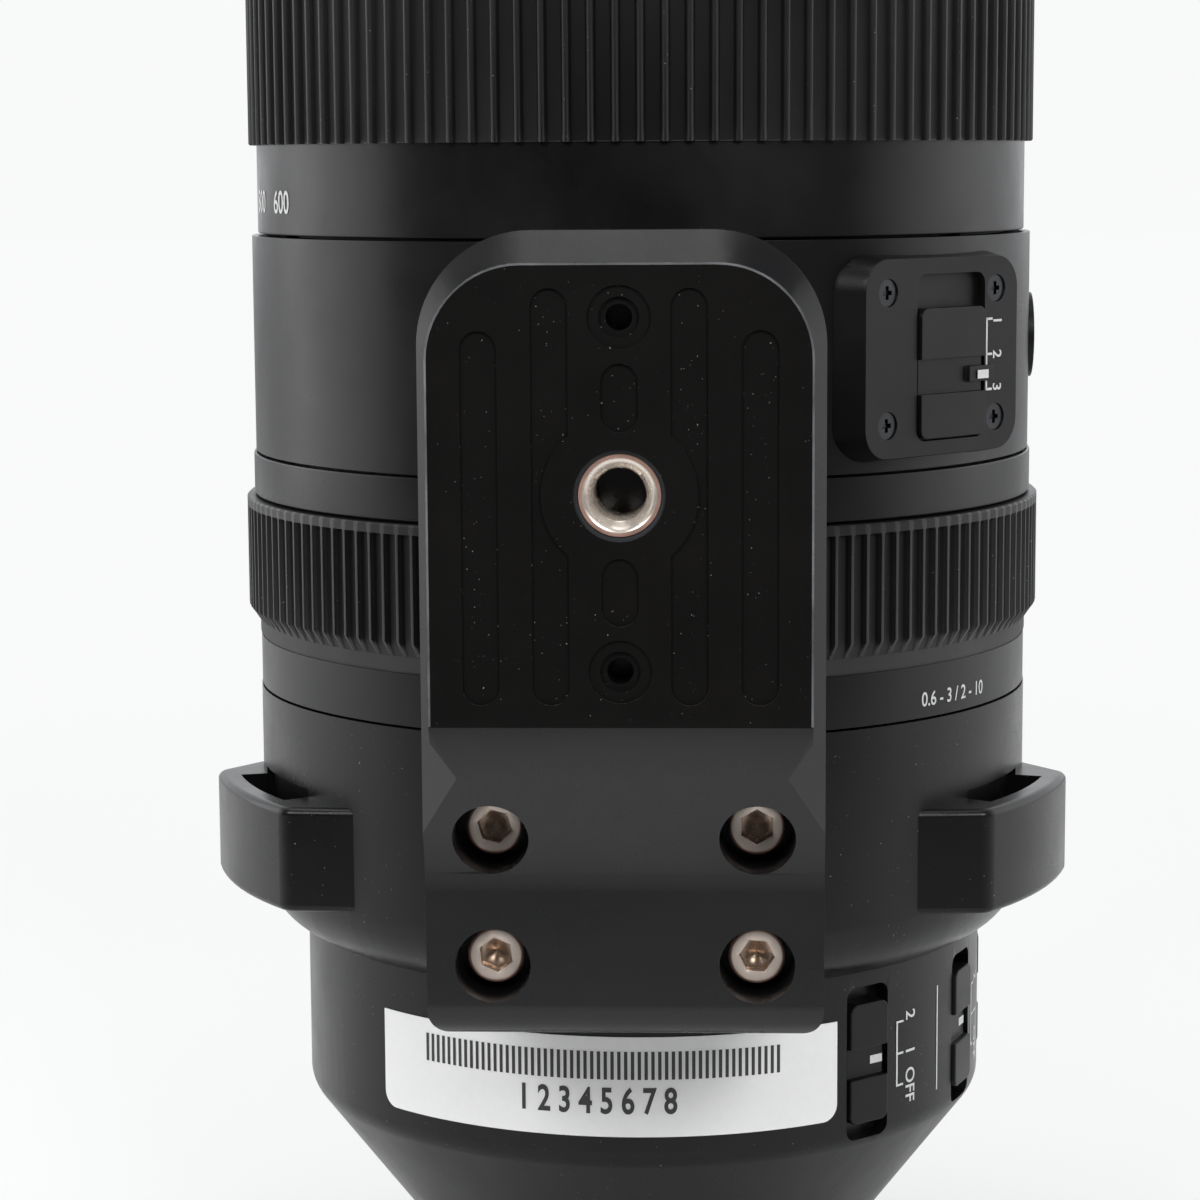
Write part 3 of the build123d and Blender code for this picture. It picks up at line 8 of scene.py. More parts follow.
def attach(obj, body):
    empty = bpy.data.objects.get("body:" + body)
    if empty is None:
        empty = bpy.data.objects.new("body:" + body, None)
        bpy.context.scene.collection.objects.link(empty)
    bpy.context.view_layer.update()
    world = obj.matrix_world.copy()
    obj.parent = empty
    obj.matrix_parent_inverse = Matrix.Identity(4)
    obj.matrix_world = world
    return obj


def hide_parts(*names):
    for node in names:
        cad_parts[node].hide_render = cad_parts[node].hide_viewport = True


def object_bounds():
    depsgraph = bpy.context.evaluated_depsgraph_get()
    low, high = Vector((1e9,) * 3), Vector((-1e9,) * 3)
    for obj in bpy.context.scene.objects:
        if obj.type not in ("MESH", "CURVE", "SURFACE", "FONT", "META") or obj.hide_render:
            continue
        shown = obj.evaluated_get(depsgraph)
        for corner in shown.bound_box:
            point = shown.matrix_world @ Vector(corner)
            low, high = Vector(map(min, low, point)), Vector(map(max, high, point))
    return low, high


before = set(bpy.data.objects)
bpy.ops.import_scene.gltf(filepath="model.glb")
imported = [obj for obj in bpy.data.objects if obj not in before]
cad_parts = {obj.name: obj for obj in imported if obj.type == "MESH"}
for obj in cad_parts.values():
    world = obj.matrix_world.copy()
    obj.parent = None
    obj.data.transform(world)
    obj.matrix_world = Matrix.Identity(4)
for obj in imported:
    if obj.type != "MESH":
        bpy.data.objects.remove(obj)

CAD_BOX = [list(v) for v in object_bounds()]
MM = 0.001

# Radii, stations along the optical axis and distances from it, as in the part, in millimetres
HOUSING_R, DISTANCE_R, CONTROL_R = 47.3, 53.1, 53.35
ZOOM_SLEEVE_R, ZOOM_R, FOCUS_R = 52.5, 53.6, 54.7
ZOOM_GRIP_BORE_R, FOCUS_GRIP_BORE_R = 52.7, 53.0
FOCUS_Z, FOCUS_TOP = 92.5, 111.4
GRIP_Z0, GRIP_Z1 = 158.9, 226.0
FOCUS_RIBS, ZOOM_RIBS = 148, 110
RIB_DEPTH = 0.85
PANEL_AZ, PANEL_P = 45.5, 55.0
FOOT_D = 90.0
INSERT_Z, INSERT_TOP, INSERT_L = 119.6, 89.4, 10.0
SCREW_X, SCREW_UPPER_Z, SCREW_LOWER_Z = 15.5, 78.7, 63.1


# Materials. Texture scales are per metre and bump heights in metres

CLOUD_SCALE, WEAR_SCALE, DUST_SCALE = 95, 42, 3400
TARNISH_SCALE, SCUFF_SCALE, TOOL_SCALE = 260, 700, 1500
LENS_DUST_SCALE, LENS_BODY_SCALE = 900, 30
FIBRE_SCALE, FIBRE_GRAIN, INK_SCALE = 900, 2600, 2200
SKIN_HEIGHT, TOOL_HEIGHT, FIBRE_HEIGHT = 0.00004, 0.00003, 0.00003
TOOL_STRENGTH, FIBRE_STRENGTH = 0.08, 0.15
DUST_TONE = (0.30, 0.29, 0.27, 1)
DUST_START, DUST_FULL = 0.755, 0.80
SKIN_SPREAD, METAL_SPREAD, LENS_DUST_ROUGH = 0.08, 0.06, 0.10
TARNISHED, THIN_INK = 0.82, 0.86         # shares of the full colour
LENS_IOR, LENS_COAT = 1.52, 0.35
PAPER_TONE, PAPER_ROUGH, PAPER_LOW, PAPER_HIGH = (0.80, 0.80, 0.79), 0.62, 0.785, 0.815
INK_ROUGH = 0.5


def nodes_of(name, base, rough, metal=0.0, coat=0.0, specular=0.5):
    mat = bpy.data.materials.new(name)
    mat.use_nodes = True
    tree = mat.node_tree
    bsdf = tree.nodes["Principled BSDF"]
    bsdf.inputs["Base Color"].default_value = (*base, 1)
    bsdf.inputs["Roughness"].default_value = rough
    bsdf.inputs["Metallic"].default_value = metal
    bsdf.inputs["Coat Weight"].default_value = coat
    bsdf.inputs["Specular IOR Level"].default_value = specular
    return mat, tree, bsdf


def texture_coords(tree):
    return tree.nodes.new("ShaderNodeTexCoord").outputs["Object"]


def noise(tree, scale, detail=3.0, rough=0.5):
    node = tree.nodes.new("ShaderNodeTexNoise")
    node.inputs["Scale"].default_value = scale
    node.inputs["Detail"].default_value = detail
    node.inputs["Roughness"].default_value = rough
    tree.links.new(texture_coords(tree), node.inputs["Vector"])
    return node.outputs["Fac"]


def ramp(tree, value, low, high, start=0.3, end=0.7):
    """Fades from one colour to another while a value goes from start to end."""
    node = tree.nodes.new("ShaderNodeValToRGB")
    tree.links.new(value, node.inputs["Fac"])
    for stop, place, colour in zip(node.color_ramp.elements, (start, end), (low, high)):
        stop.position = place
        stop.color = (*colour, 1)
    return node.outputs["Color"]


def bump(tree, bsdf, value, strength, distance):
    node = tree.nodes.new("ShaderNodeBump")
    node.inputs["Strength"].default_value = strength
    node.inputs["Distance"].default_value = distance
    tree.links.new(value, node.inputs["Height"])
    tree.links.new(node.outputs["Normal"], bsdf.inputs["Normal"])


def grey(value):
    return (value, value, value)


def scaled(colour, share):
    return tuple(c * share for c in colour)


def coated(name, base, rough, grain=5200, strength=0.12, specular=0.5, mottle=0.25, dust=0.0):
    """Painted or moulded skin: fine grain, faint mottling in colour and roughness, and dust specks. A higher
    dust value gives more and larger specks, and zero gives none."""
    mat, tree, bsdf = nodes_of(name, base, rough, specular=specular)
    cloud = noise(tree, CLOUD_SCALE, 5.0, 0.6)
    colour = ramp(tree, cloud, scaled(base, 1 - mottle), scaled(base, 1 + mottle))
    if dust:
        specks = ramp(tree, noise(tree, DUST_SCALE, 1.0), grey(0.0), grey(1.0),
                      DUST_START - dust, DUST_FULL - dust)
        mix = tree.nodes.new("ShaderNodeMixRGB")
        mix.inputs["Color2"].default_value = DUST_TONE
        tree.links.new(specks, mix.inputs["Fac"])
        tree.links.new(colour, mix.inputs["Color1"])
        colour = mix.outputs["Color"]
    tree.links.new(colour, bsdf.inputs["Base Color"])
    wear = ramp(tree, noise(tree, WEAR_SCALE, 6.0, 0.65),
                grey(rough - SKIN_SPREAD), grey(rough + SKIN_SPREAD))
    tree.links.new(wear, bsdf.inputs["Roughness"])
    bump(tree, bsdf, noise(tree, grain, 2.0), strength, SKIN_HEIGHT)
    return mat


def metal(name, base, rough, metallic=1.0):
    """Turned or plated metal with fine tool marks and a little tarnish; less metallic is more satin."""
    mat, tree, bsdf = nodes_of(name, base, rough, metallic)
    tint = ramp(tree, noise(tree, TARNISH_SCALE, 4.0), scaled(base, TARNISHED), base)
    tree.links.new(tint, bsdf.inputs["Base Color"])
    worn = ramp(tree, noise(tree, SCUFF_SCALE, 4.0), grey(rough - METAL_SPREAD), grey(rough + METAL_SPREAD))
    tree.links.new(worn, bsdf.inputs["Roughness"])
    bump(tree, bsdf, noise(tree, TOOL_SCALE, 3.0), TOOL_STRENGTH, TOOL_HEIGHT)
    return mat


def glass(name, tint, rough, coat_tint):
    """Clear optical glass with a coloured coating and a trace of dust on it."""
    mat, tree, bsdf = nodes_of(name, tint, rough, coat=LENS_COAT)
    bsdf.inputs["Transmission Weight"].default_value = 1.0
    bsdf.inputs["IOR"].default_value = LENS_IOR
    bsdf.inputs["Coat Tint"].default_value = (*coat_tint, 1)
    bsdf.inputs["Specular Tint"].default_value = (*coat_tint, 1)
    haze = ramp(tree, noise(tree, LENS_DUST_SCALE, 2.0), grey(rough), grey(rough + LENS_DUST_ROUGH),
                0.68, 0.80)
    tree.links.new(haze, bsdf.inputs["Roughness"])
    body = ramp(tree, noise(tree, LENS_BODY_SCALE, 2.0), scaled(tint, 0.97), tint)
    tree.links.new(body, bsdf.inputs["Base Color"])
    return mat


def paper(name):
    """Label stock: almost even white with a fibrous surface."""
    mat, tree, bsdf = nodes_of(name, PAPER_TONE, PAPER_ROUGH)
    fibre = ramp(tree, noise(tree, FIBRE_SCALE, 6.0, 0.7), grey(PAPER_LOW), grey(PAPER_HIGH), 0.25)
    tree.links.new(fibre, bsdf.inputs["Base Color"])
    bump(tree, bsdf, noise(tree, FIBRE_GRAIN, 4.0), FIBRE_STRENGTH, FIBRE_HEIGHT)
    return mat


def print_ink(name, value):
    """Pad-printed ink with slightly uneven cover."""
    mat, tree, bsdf = nodes_of(name, grey(value), INK_ROUGH)
    cover = ramp(tree, noise(tree, INK_SCALE, 4.0), grey(value * THIN_INK), grey(value))
    tree.links.new(cover, bsdf.inputs["Base Color"])
    return mat


# One material for each of the part's slots
MATS = {
    "satin_black": coated("satin_black_look", (0.0036, 0.0037, 0.0041), 0.30, specular=0.26, dust=-0.018),
    "composite_black": coated("composite_black_look", (0.0038, 0.0039, 0.0043), 0.32, grain=6400,
                              strength=0.2, specular=0.28),
    "foot_black": coated("foot_black_look", (0.0044, 0.0046, 0.0051), 0.27, grain=7000, strength=0.1,
                         specular=0.42),
    "rubber_black": coated("rubber_black_look", (0.0080, 0.0079, 0.0077), 0.42, grain=3600, strength=0.3,
                           specular=0.55, dust=-0.016),
    "panel_black": coated("panel_black_look", (0.0032, 0.0032, 0.0035), 0.42, grain=6400, strength=0.2,
                          specular=0.24),
    "slider_black": coated("slider_black_look", (0.0045, 0.0045, 0.0048), 0.38, grain=6400, strength=0.14,
                           specular=0.22),
    "inner_black": coated("inner_black_look", (0.010, 0.010, 0.011), 0.60),
    "black_plastic": coated("black_plastic_look", (0.018, 0.018, 0.019), 0.45),
    "seal_rubber": coated("seal_rubber_look", (0.022, 0.021, 0.021), 0.70, grain=2400, strength=0.2),
    "board_green": coated("board_green_look", (0.015, 0.075, 0.035), 0.42),
    "mount_metal": metal("mount_metal_look", (0.74, 0.73, 0.71), 0.30),
    "bright_steel": metal("bright_steel_look", (0.80, 0.72, 0.64), 0.27, metallic=0.70),
    "black_steel": metal("black_steel_look", (0.045, 0.046, 0.050), 0.34),
    "blade_metal": metal("blade_metal_look", (0.08, 0.08, 0.085), 0.36),
    "contact_gold": metal("contact_gold_look", (0.90, 0.66, 0.28), 0.22),
    "front_coated": glass("front_coated_look", (0.93, 0.96, 0.95), 0.01, (0.74, 0.92, 0.84)),
    "inner_glass": glass("inner_glass_look", (0.92, 0.93, 0.95), 0.01, (0.70, 0.50, 0.85)),
    "paper_white": paper("paper_white_look"),
}

# Second looks on single areas of a piece
FACE_BLACK = coated("face_black_look", (0.0036, 0.0032, 0.0029), 0.55, grain=2600, strength=0.3,
                    specular=0.10, dust=-0.010)
SOCKET = metal("socket_look", (0.74, 0.55, 0.41), 0.26, metallic=0.62)
HEAD_STEEL = metal("screw_head_look", (0.94, 0.81, 0.71), 0.36, metallic=0.50)
COPPER = metal("copper_ring_look", (0.66, 0.41, 0.33), 0.36, metallic=0.75)
# Groove walls of the foot: painted light where light from above falls on them, with dust specks
GROOVE_LIGHT_AND_DUST = coated("groove_light_and_dust_look", (0.020, 0.019, 0.018), 0.50, grain=2600, strength=0.3, specular=0.3,
                     mottle=0.6, dust=0.055)
BORE_RING = coated("bore_ring_look", (0.030, 0.032, 0.036), 0.34, specular=0.6)
# Lighter grey for the foot's rim and edge line: wear, and a painted highlight where the rim catches the light
WORN_EDGE_HIGHLIGHT = coated("worn_edge_highlight_look", (0.12, 0.122, 0.128), 0.34, grain=3000, strength=0.3, mottle=0.7)
# Darker, less glossy rubber for the deep parts of the rib valleys: painted shade between the ribs
VALLEY_SHADE_RUBBER = coated("valley_shade_rubber_look", (0.0050, 0.0049, 0.0047), 0.50, grain=3600, strength=0.3,
                       specular=0.30)
WHITE_INK = print_ink("white_ink_look", 0.62)
BLACK_INK = print_ink("black_ink_look", 0.03)

SLOT_OF = {}
for node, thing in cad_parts.items():
    for place in thing.material_slots:
        SLOT_OF[node] = place.material.name.split(".")[0]
        place.material = MATS[SLOT_OF[node]]


# Mesh building, all in millimetres until the mesh is made. Edges sharper than these degrees stay crisp
RIB_SMOOTH, FITTING_SMOOTH, THREAD_SMOOTH, EDGE_SMOOTH, DRESSED_SMOOTH = 42.0, 50.0, 60.0, 30.0, 40.0


def piece(name, verts, faces, mat, body, smooth=35.0):
    mesh = bpy.data.meshes.new(name)
    mesh.from_pydata([(x * MM, y * MM, z * MM) for x, y, z in verts], [], faces)
    mesh.validate()
    thing = bpy.data.objects.new(name, mesh)
    bpy.context.scene.collection.objects.link(thing)
    mesh.materials.append(mat)
    finish_mesh(mesh, smooth)
    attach(thing, body)
    return thing


def finish_mesh(mesh, smooth):
    """Outward faces, soft shading on round parts and sharp edges where two faces meet at an angle."""
    bm = bmesh.new()
    bm.from_mesh(mesh)
    bmesh.ops.recalc_face_normals(bm, faces=bm.faces)
    for face in bm.faces:
        face.smooth = True
    for edge in bm.edges:
        if len(edge.link_faces) == 2:
            edge.smooth = edge.calc_face_angle(0.0) < math.radians(smooth)
    bm.to_mesh(mesh)
    bm.free()


def polar(radius, azimuth, z):
    """Point at an azimuth from -Y."""
    a = math.radians(azimuth)
    return radius * math.sin(a), -radius * math.cos(a), z


def on_face(azimuth, across, z, out):
    """Point on a flat that looks out at an azimuth."""
    a = math.radians(azimuth)
    return (across * math.cos(a) + out * math.sin(a), across * math.sin(a) - out * math.cos(a), z)


def band(lower, upper, around):
    """Faces between two rings of points, each given by the number of its first point."""
    return [(lower + k, lower + (k + 1) % around, upper + (k + 1) % around, upper + k) for k in range(around)]


# Shape of a rib across half its pitch: a narrow rounded crest, a slope and a wide valley
CREST_SHARE, SLOPE_SHARE, VALLEY_SHARE = 0.16, 0.46, 0.6
CREST_DROP = 0.05


def rib_profile(phase):
    """Depth of the rubber below its crest across one pitch."""
    d = abs(phase - 0.5) * 2
    if d < CREST_SHARE:
        return CREST_DROP * (d / CREST_SHARE) ** 2
    if d < SLOPE_SHARE:
        t = (d - CREST_SHARE) / (SLOPE_SHARE - CREST_SHARE)
        return CREST_DROP + (RIB_DEPTH - CREST_DROP) * (t * t * (3 - 2 * t))
    return RIB_DEPTH


def ribbed(name, bore, count, levels, body, per=14):
    """Rubber grip; levels are (z, crest radius, share of the rib depth), from the rear end up."""
    around = count * per
    verts = []
    for z, crest, share in levels:
        verts += [polar(crest - rib_profile((k % per) / per) * share, 360 * k / around, z)
                  for k in range(around)]
    inner = len(verts)
    for z in (levels[0][0], levels[-1][0]):
        verts += [polar(bore, 360 * k / around, z) for k in range(around)]
    rows = len(levels) - 1
    faces = []
    for row in range(rows):
        faces += band(row * around, (row + 1) * around, around)
    faces += band(0, inner, around) + band(rows * around, inner + around, around)
    faces += band(inner, inner + around, around)
    grip = piece(name, verts, faces, MATS["rubber_black"], body, RIB_SMOOTH)
    # Faces deep in the valleys get the darker rubber: painted shade between the ribs
    grip.data.materials.append(VALLEY_SHADE_RUBBER)
    for number in range(rows * around):
        if rib_profile(((number % around + 0.5) % per) / per) > VALLEY_SHARE * RIB_DEPTH:
            grip.data.polygons[number].material_index = 1
    return grip


# Marks: flat letters and bars laid on the round or flat surfaces

CAP_SHARE = 0.69        # cap height over the size of the built-in font


def text_mesh(body_text, height, weight=0.012):
    """Flat outline of plain characters, cap height in millimetres, starting at the origin."""
    curve = bpy.data.curves.new("marks", "FONT")
    curve.body = body_text
    curve.size = height / CAP_SHARE
    curve.offset = weight * curve.size
    curve.resolution_u = 4
    maker = bpy.data.objects.new("marks", curve)
    mesh = bpy.data.meshes.new_from_object(maker)
    points = [tuple(v.co) for v in mesh.vertices]
    faces = [tuple(p.vertices) for p in mesh.polygons]
    bpy.data.objects.remove(maker)
    bpy.data.meshes.remove(mesh)
    bpy.data.curves.remove(curve)
    return points, faces


def bar_mesh(x0, y0, x1, y1):
    return [(x0, y0, 0), (x0, y1, 0), (x1, y0, 0), (x1, y1, 0)], [(0, 2, 3, 1)]


def marks(name, parts, place, body, mat=WHITE_INK):
    """One piece made of several flat marks; place turns (x, y) into a point in space."""
    verts, faces = [], []
    for points, polys in parts:
        base = len(verts)
        verts += [place(x, y) for x, y, _ in points]
        faces += [tuple(base + i for i in p) for p in polys]
    return piece(name, verts, faces, mat, body)


def shifted(part, dx, dy, turn=0.0, stretch=1.0):
    points, faces = part
    c, s = math.cos(math.radians(turn)), math.sin(math.radians(turn))
    return [(x * stretch * c - y * s + dx, x * stretch * s + y * c + dy, 0) for x, y, _ in points], faces


def width_of(part):
    xs = [p[0] for p in part[0]]
    return max(xs) - min(xs)


def centred(part, x, y, turn=0.0, stretch=1.0):
    xs = [p[0] for p in part[0]]
    ys = [p[1] for p in part[0]]
    moved = [(px - (min(xs) + max(xs)) / 2, py - (min(ys) + max(ys)) / 2, 0) for px, py, _ in part[0]]
    return shifted((moved, part[1]), x, y, turn, stretch)


def arc(azimuth, radius):
    """Length round the lens from -Y to an azimuth."""
    return math.radians(azimuth) * radius


def on_round(radius, lift=0.05):
    """Wraps (arc length, z) round the lens."""
    return lambda x, y: polar(radius + lift, math.degrees(x / radius), y)


def on_panel(lift=0.04):
    """Places (across, z) on the flat front of the panel."""
    return lambda x, y: on_face(PANEL_AZ, x, y, PANEL_P + lift)


# CAD pieces that keep their shape and get soft edges

MERGE, FLAT_ANGLE, SHARP_ANGLE = 0.002, 0.4, 32


def dressed(node, body, bevel, extras=(), keep=None):
    """Copy of a CAD node with a small round on its sharp edges; extras are (material, test on a face), and
    keep says which edges stay crisp."""
    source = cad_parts[node].data
    slot = SLOT_OF[node]
    bm = bmesh.new()
    for vert in source.vertices:
        bm.verts.new(vert.co)
    bm.verts.ensure_lookup_table()
    for poly in source.polygons:
        try:
            bm.faces.new([bm.verts[i] for i in poly.vertices])
        except ValueError:
            continue
    bmesh.ops.remove_doubles(bm, verts=bm.verts, dist=MERGE * MM)
    bmesh.ops.dissolve_limit(bm, angle_limit=math.radians(FLAT_ANGLE), verts=bm.verts, edges=bm.edges)
    bmesh.ops.recalc_face_normals(bm, faces=bm.faces)
    sharp = [e for e in bm.edges
             if len(e.link_faces) == 2 and e.calc_face_angle(0.0) > math.radians(SHARP_ANGLE)
             and not (keep and keep((e.verts[0].co + e.verts[1].co) / (2 * MM)))]
    bmesh.ops.bevel(bm, geom=sharp, offset=bevel * MM, segments=2, profile=0.5, affect="EDGES",
                    clamp_overlap=True)
    for number, (look, test) in enumerate(extras):
        for face in bm.faces:
            if test(face.calc_center_median() / MM, face.normal):
                face.material_index = number + 1
    mesh = bpy.data.meshes.new(node + "_dressed")
    bm.to_mesh(mesh)
    bm.free()
    thing = bpy.data.objects.new(node + "_dressed", mesh)
    bpy.context.scene.collection.objects.link(thing)
    mesh.materials.append(MATS[slot])
    for look, test in extras:
        mesh.materials.append(look)
    finish_mesh(mesh, DRESSED_SMOOTH)
    even = thing.modifiers.new("even_shading", "WEIGHTED_NORMAL")
    even.keep_sharp = True
    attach(thing, body)
    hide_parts(node)
    return thing


# Areas of the foot's face, told by the middle m and the normal n of a polygon
FACE_Z0, FACE_DEPTH = 93.6, 1.3
GROOVE_Z0, GROOVE_Z1, GROOVE_X, GROOVE_DEPTH = 94.5, 143.6, 19.0, 0.6
RECESS_R, RECESS_DEPTH, SKIN_DEPTH = 5.6, 1.0, 0.2
RIM_Z0, RIM_Z1, RIM_X, RIM_DEPTH = 93.0, 143.2, 19.5, 0.5
CRISP_X, CRISP_DEPTH = 18.6, 1.6
FACING, SLANTED, RIM_FACING, RIM_SLANTED = -0.9, -0.6, -0.97, -0.1       # Y part of the normal


def working_face(m, n):
    return -m.y > FOOT_D - FACE_DEPTH and m.z > FACE_Z0 and n.y < FACING


# Walls of the grooves, which get the painted light and dust
def groove_side(m, n):
    return -m.y > FOOT_D - GROOVE_DEPTH and m.z > GROOVE_Z0 and abs(m.x) < GROOVE_X and n.y > SLANTED


def bush_recess(m, n):
    return (FOOT_D - RECESS_DEPTH < -m.y and math.hypot(m.x, m.z - INSERT_Z) < RECESS_R
            and (n.y > FACING or -m.y < FOOT_D - SKIN_DEPTH))


# Slanted faces of the rim, which get the worn edge with its painted highlight
def worn_rim_highlight(m, n):
    return (-m.y > FOOT_D - RIM_DEPTH and m.z > RIM_Z0 and RIM_FACING < n.y < RIM_SLANTED
            and (abs(m.x) > RIM_X or m.z > RIM_Z1))


def crisp_edge(m):
    """Edges of the grooves and holes, which get no round."""
    return -m.y > FOOT_D - CRISP_DEPTH and abs(m.x) < CRISP_X and GROOVE_Z0 < m.z < GROOVE_Z1


foot_looks = [(FACE_BLACK, working_face), (GROOVE_LIGHT_AND_DUST, groove_side), (BORE_RING, bush_recess),
              (WORN_EDGE_HIGHLIGHT, worn_rim_highlight)]
dressed("foot", "collar", 0.4, foot_looks, crisp_edge)
for node, body, bevel in (
        ("rear_housing", "barrel", 0.25), ("collar_ring", "collar", 0.35),
        ("outer_sleeve", "barrel", 0.2), ("focus_sleeve", "focus_ring", 0.15),
        ("lower_band", "barrel", 0.25), ("control_band", "barrel", 0.25),
        ("zoom_sleeve", "zoom_ring", 0.25), ("front_housing", "front_barrel", 0.3),
        ("torque_panel", "barrel", 0.35), ("torque_switch", "torque_slider", 0.2),
        ("custom_switch", "custom_slider", 0.3), ("stabiliser_switch", "stabiliser_slider", 0.3),
        ("limiter_switch", "limiter_slider", 0.3), ("focus_mode_switch", "focus_mode_slider", 0.3),
        ("hold_button_side", "hold_side", 0.2), ("hold_button_top", "hold_top", 0.2),
        ("hold_button_bottom", "hold_bottom", 0.2), ("mount_plate", "barrel", 0.12),
        ("lock_knob", "lock", 0.3)):
    dressed(node, body, bevel)


# Threaded bush and socket screws of the foot

FITTING_STEPS, THREAD_PITCH = 96, 1.27


def ring(radius, distance, look=0, cut=0, hexagon=False):
    """One ring of a fitting, at a distance from the lens axis. The look is that of the band above it, and the
    cut is the depth of a thread."""
    return radius, distance, look, cut, hexagon


def fitting(name, spots, rings, looks):
    """Round steel fittings whose axes point to -Y; spots are (x, z, turn in degrees)."""
    verts, faces, bands = [], [], []
    around = FITTING_STEPS
    for x, z, turned_by in spots:
        base = len(verts)
        for r, d, look, cut, hexagon in rings:
            for k in range(around):
                turn = (d / THREAD_PITCH - k / around) % 1.0
                radius = r + cut * (1 - abs(2 * turn - 1))
                a = 2 * math.pi * k / around
                if hexagon:
                    radius /= math.cos((a + math.pi / 6) % (math.pi / 3) - math.pi / 6)
                a += math.radians(turned_by)
                verts.append((x + radius * math.sin(a), -d, z + radius * math.cos(a)))
        for row in range(len(rings)):
            faces += band(base + row * around, base + (row + 1) % len(rings) * around, around)
            bands += [rings[row][2]] * around
    thing = piece(name, verts, faces, looks[0], "collar", FITTING_SMOOTH)
    for look in looks[1:]:
        thing.data.materials.append(look)
    for poly, look in zip(thing.data.polygons, bands):
        poly.material_index = look
    return thing


# Rings of the bush from its buried end over the mouth, then down the threaded bore
BUSH_R, MOUTH_R, MOUTH = 4.7, 4.22, 1.15
THREAD_R, THREAD_CUT, THREAD_STEPS = 2.95, 0.32, 72
bush_rings = [ring(BUSH_R, INSERT_TOP - INSERT_L), ring(BUSH_R, INSERT_TOP - 0.1, 1),
              ring(BUSH_R - 0.08, INSERT_TOP, 1), ring(MOUTH_R, INSERT_TOP),
              ring(MOUTH_R - 0.17, INSERT_TOP - 0.05), ring(THREAD_R + 0.65, INSERT_TOP - 0.45),
              ring(THREAD_R + 0.2, INSERT_TOP - 1.0)]
bush_rings += [ring(THREAD_R, INSERT_TOP - MOUTH - (INSERT_L - MOUTH) * k / THREAD_STEPS, cut=THREAD_CUT)
               for k in range(THREAD_STEPS + 1)]
foot_bush = fitting("foot_bush", [(0, INSERT_Z, 0)], bush_rings, [MATS["bright_steel"], COPPER])
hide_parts("foot_insert")

EDGE_X, EDGE_Z0, EDGE_Z1, EDGE_CORNER, EDGE_W, EDGE_LIFT = 21.7, 93.5, 145.5, 10.8, 0.26, 0.03
EDGE_INSET, EDGE_DEEP, CORNER_STEPS = 0.02, 0.3, 16


def foot_edge_highlight():
    """Thin bright edge round the foot's face, with rounded front corners: part wear, part painted highlight.
    """
    path = [(-EDGE_X, EDGE_Z0, -1, 0)]
    for side, start in ((-1, 180), (1, 90)):
        for k in range(CORNER_STEPS + 1):
            a = math.radians(start - 90 * k / CORNER_STEPS)
            path.append((side * (EDGE_X - EDGE_CORNER) + EDGE_CORNER * math.cos(a),
                         EDGE_Z1 - EDGE_CORNER + EDGE_CORNER * math.sin(a), math.cos(a), math.sin(a)))
    path.append((EDGE_X, EDGE_Z0, 1, 0))
    verts = []
    for x, z, nx, nz in path:
        for inset, depth in ((EDGE_INSET, EDGE_DEEP), (EDGE_INSET, 0), (EDGE_W, 0), (EDGE_W, EDGE_DEEP)):
            verts.append((x - nx * inset, -FOOT_D - EDGE_LIFT + depth, z - nz * inset))
    faces = [(4 * i + k, 4 * i + (k + 1) % 4, 4 * i + 4 + (k + 1) % 4, 4 * i + 4 + k)
             for i in range(len(path) - 1) for k in range(4)]
    faces += [(0, 1, 2, 3), tuple(4 * len(path) - 4 + k for k in (3, 2, 1, 0))]
    piece("foot_edge_highlight", verts, faces, WORN_EDGE_HIGHLIGHT, "collar", EDGE_SMOOTH)


foot_edge_highlight()

# Rings of a screw: shank, head with a chamfered rim, then the hexagon socket and its drilled floor
SCREW_END, HEAD_BASE, HEAD_TOP, SOCKET_FLOOR = 50.3, 70.0, 74.0, 72.0
SHANK_R, HEAD_R, SOCKET_R, AXIS_R = 2.0, 3.4, 1.8, 0.01
screw_rings = [ring(AXIS_R, SCREW_END), ring(SHANK_R, SCREW_END), ring(SHANK_R, HEAD_BASE),
               ring(HEAD_R - 0.1, HEAD_BASE), ring(HEAD_R, HEAD_BASE + 0.15), ring(HEAD_R, HEAD_TOP - 0.4),
               ring(HEAD_R - 0.06, HEAD_TOP - 0.18, 2), ring(HEAD_R - 0.2, HEAD_TOP - 0.05, 2),
               ring(HEAD_R - 0.4, HEAD_TOP), ring(SOCKET_R + 0.5, HEAD_TOP - 0.01),
               ring(SOCKET_R + 0.04, HEAD_TOP - 0.1, 1, hexagon=True),
               ring(SOCKET_R, SOCKET_FLOOR, 1, hexagon=True), ring(SOCKET_R - 0.3, SOCKET_FLOOR - 0.03, 1),
               ring(SOCKET_R / 2, SOCKET_FLOOR - 0.4, 1), ring(AXIS_R, SOCKET_FLOOR - 0.7, 1)]
screw_spots = [(-SCREW_X, SCREW_UPPER_Z, 14), (SCREW_X, SCREW_UPPER_Z, 30),
               (-SCREW_X, SCREW_LOWER_Z, 24), (SCREW_X, SCREW_LOWER_Z, 4)]
screws = fitting("foot_socket_screws", screw_spots, screw_rings, [HEAD_STEEL, SOCKET, COPPER])
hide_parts("foot_screws")

# Rubber grips. The ribs of the focus grip fade out on its rear bevel and stop at its smooth front edge
ZOOM_ROUND, ZOOM_ROUND_L = 0.15, 0.2
zoom_levels = [(GRIP_Z0, ZOOM_R - ZOOM_ROUND, 1), (GRIP_Z0 + ZOOM_ROUND_L, ZOOM_R, 1),
               (GRIP_Z1 - ZOOM_ROUND_L, ZOOM_R, 1), (GRIP_Z1, ZOOM_R - ZOOM_ROUND, 1)]
zoom_grip = ribbed("zoom_grip_rubber", ZOOM_GRIP_BORE_R, ZOOM_RIBS, zoom_levels, "zoom_ring")
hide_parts("zoom_grip")

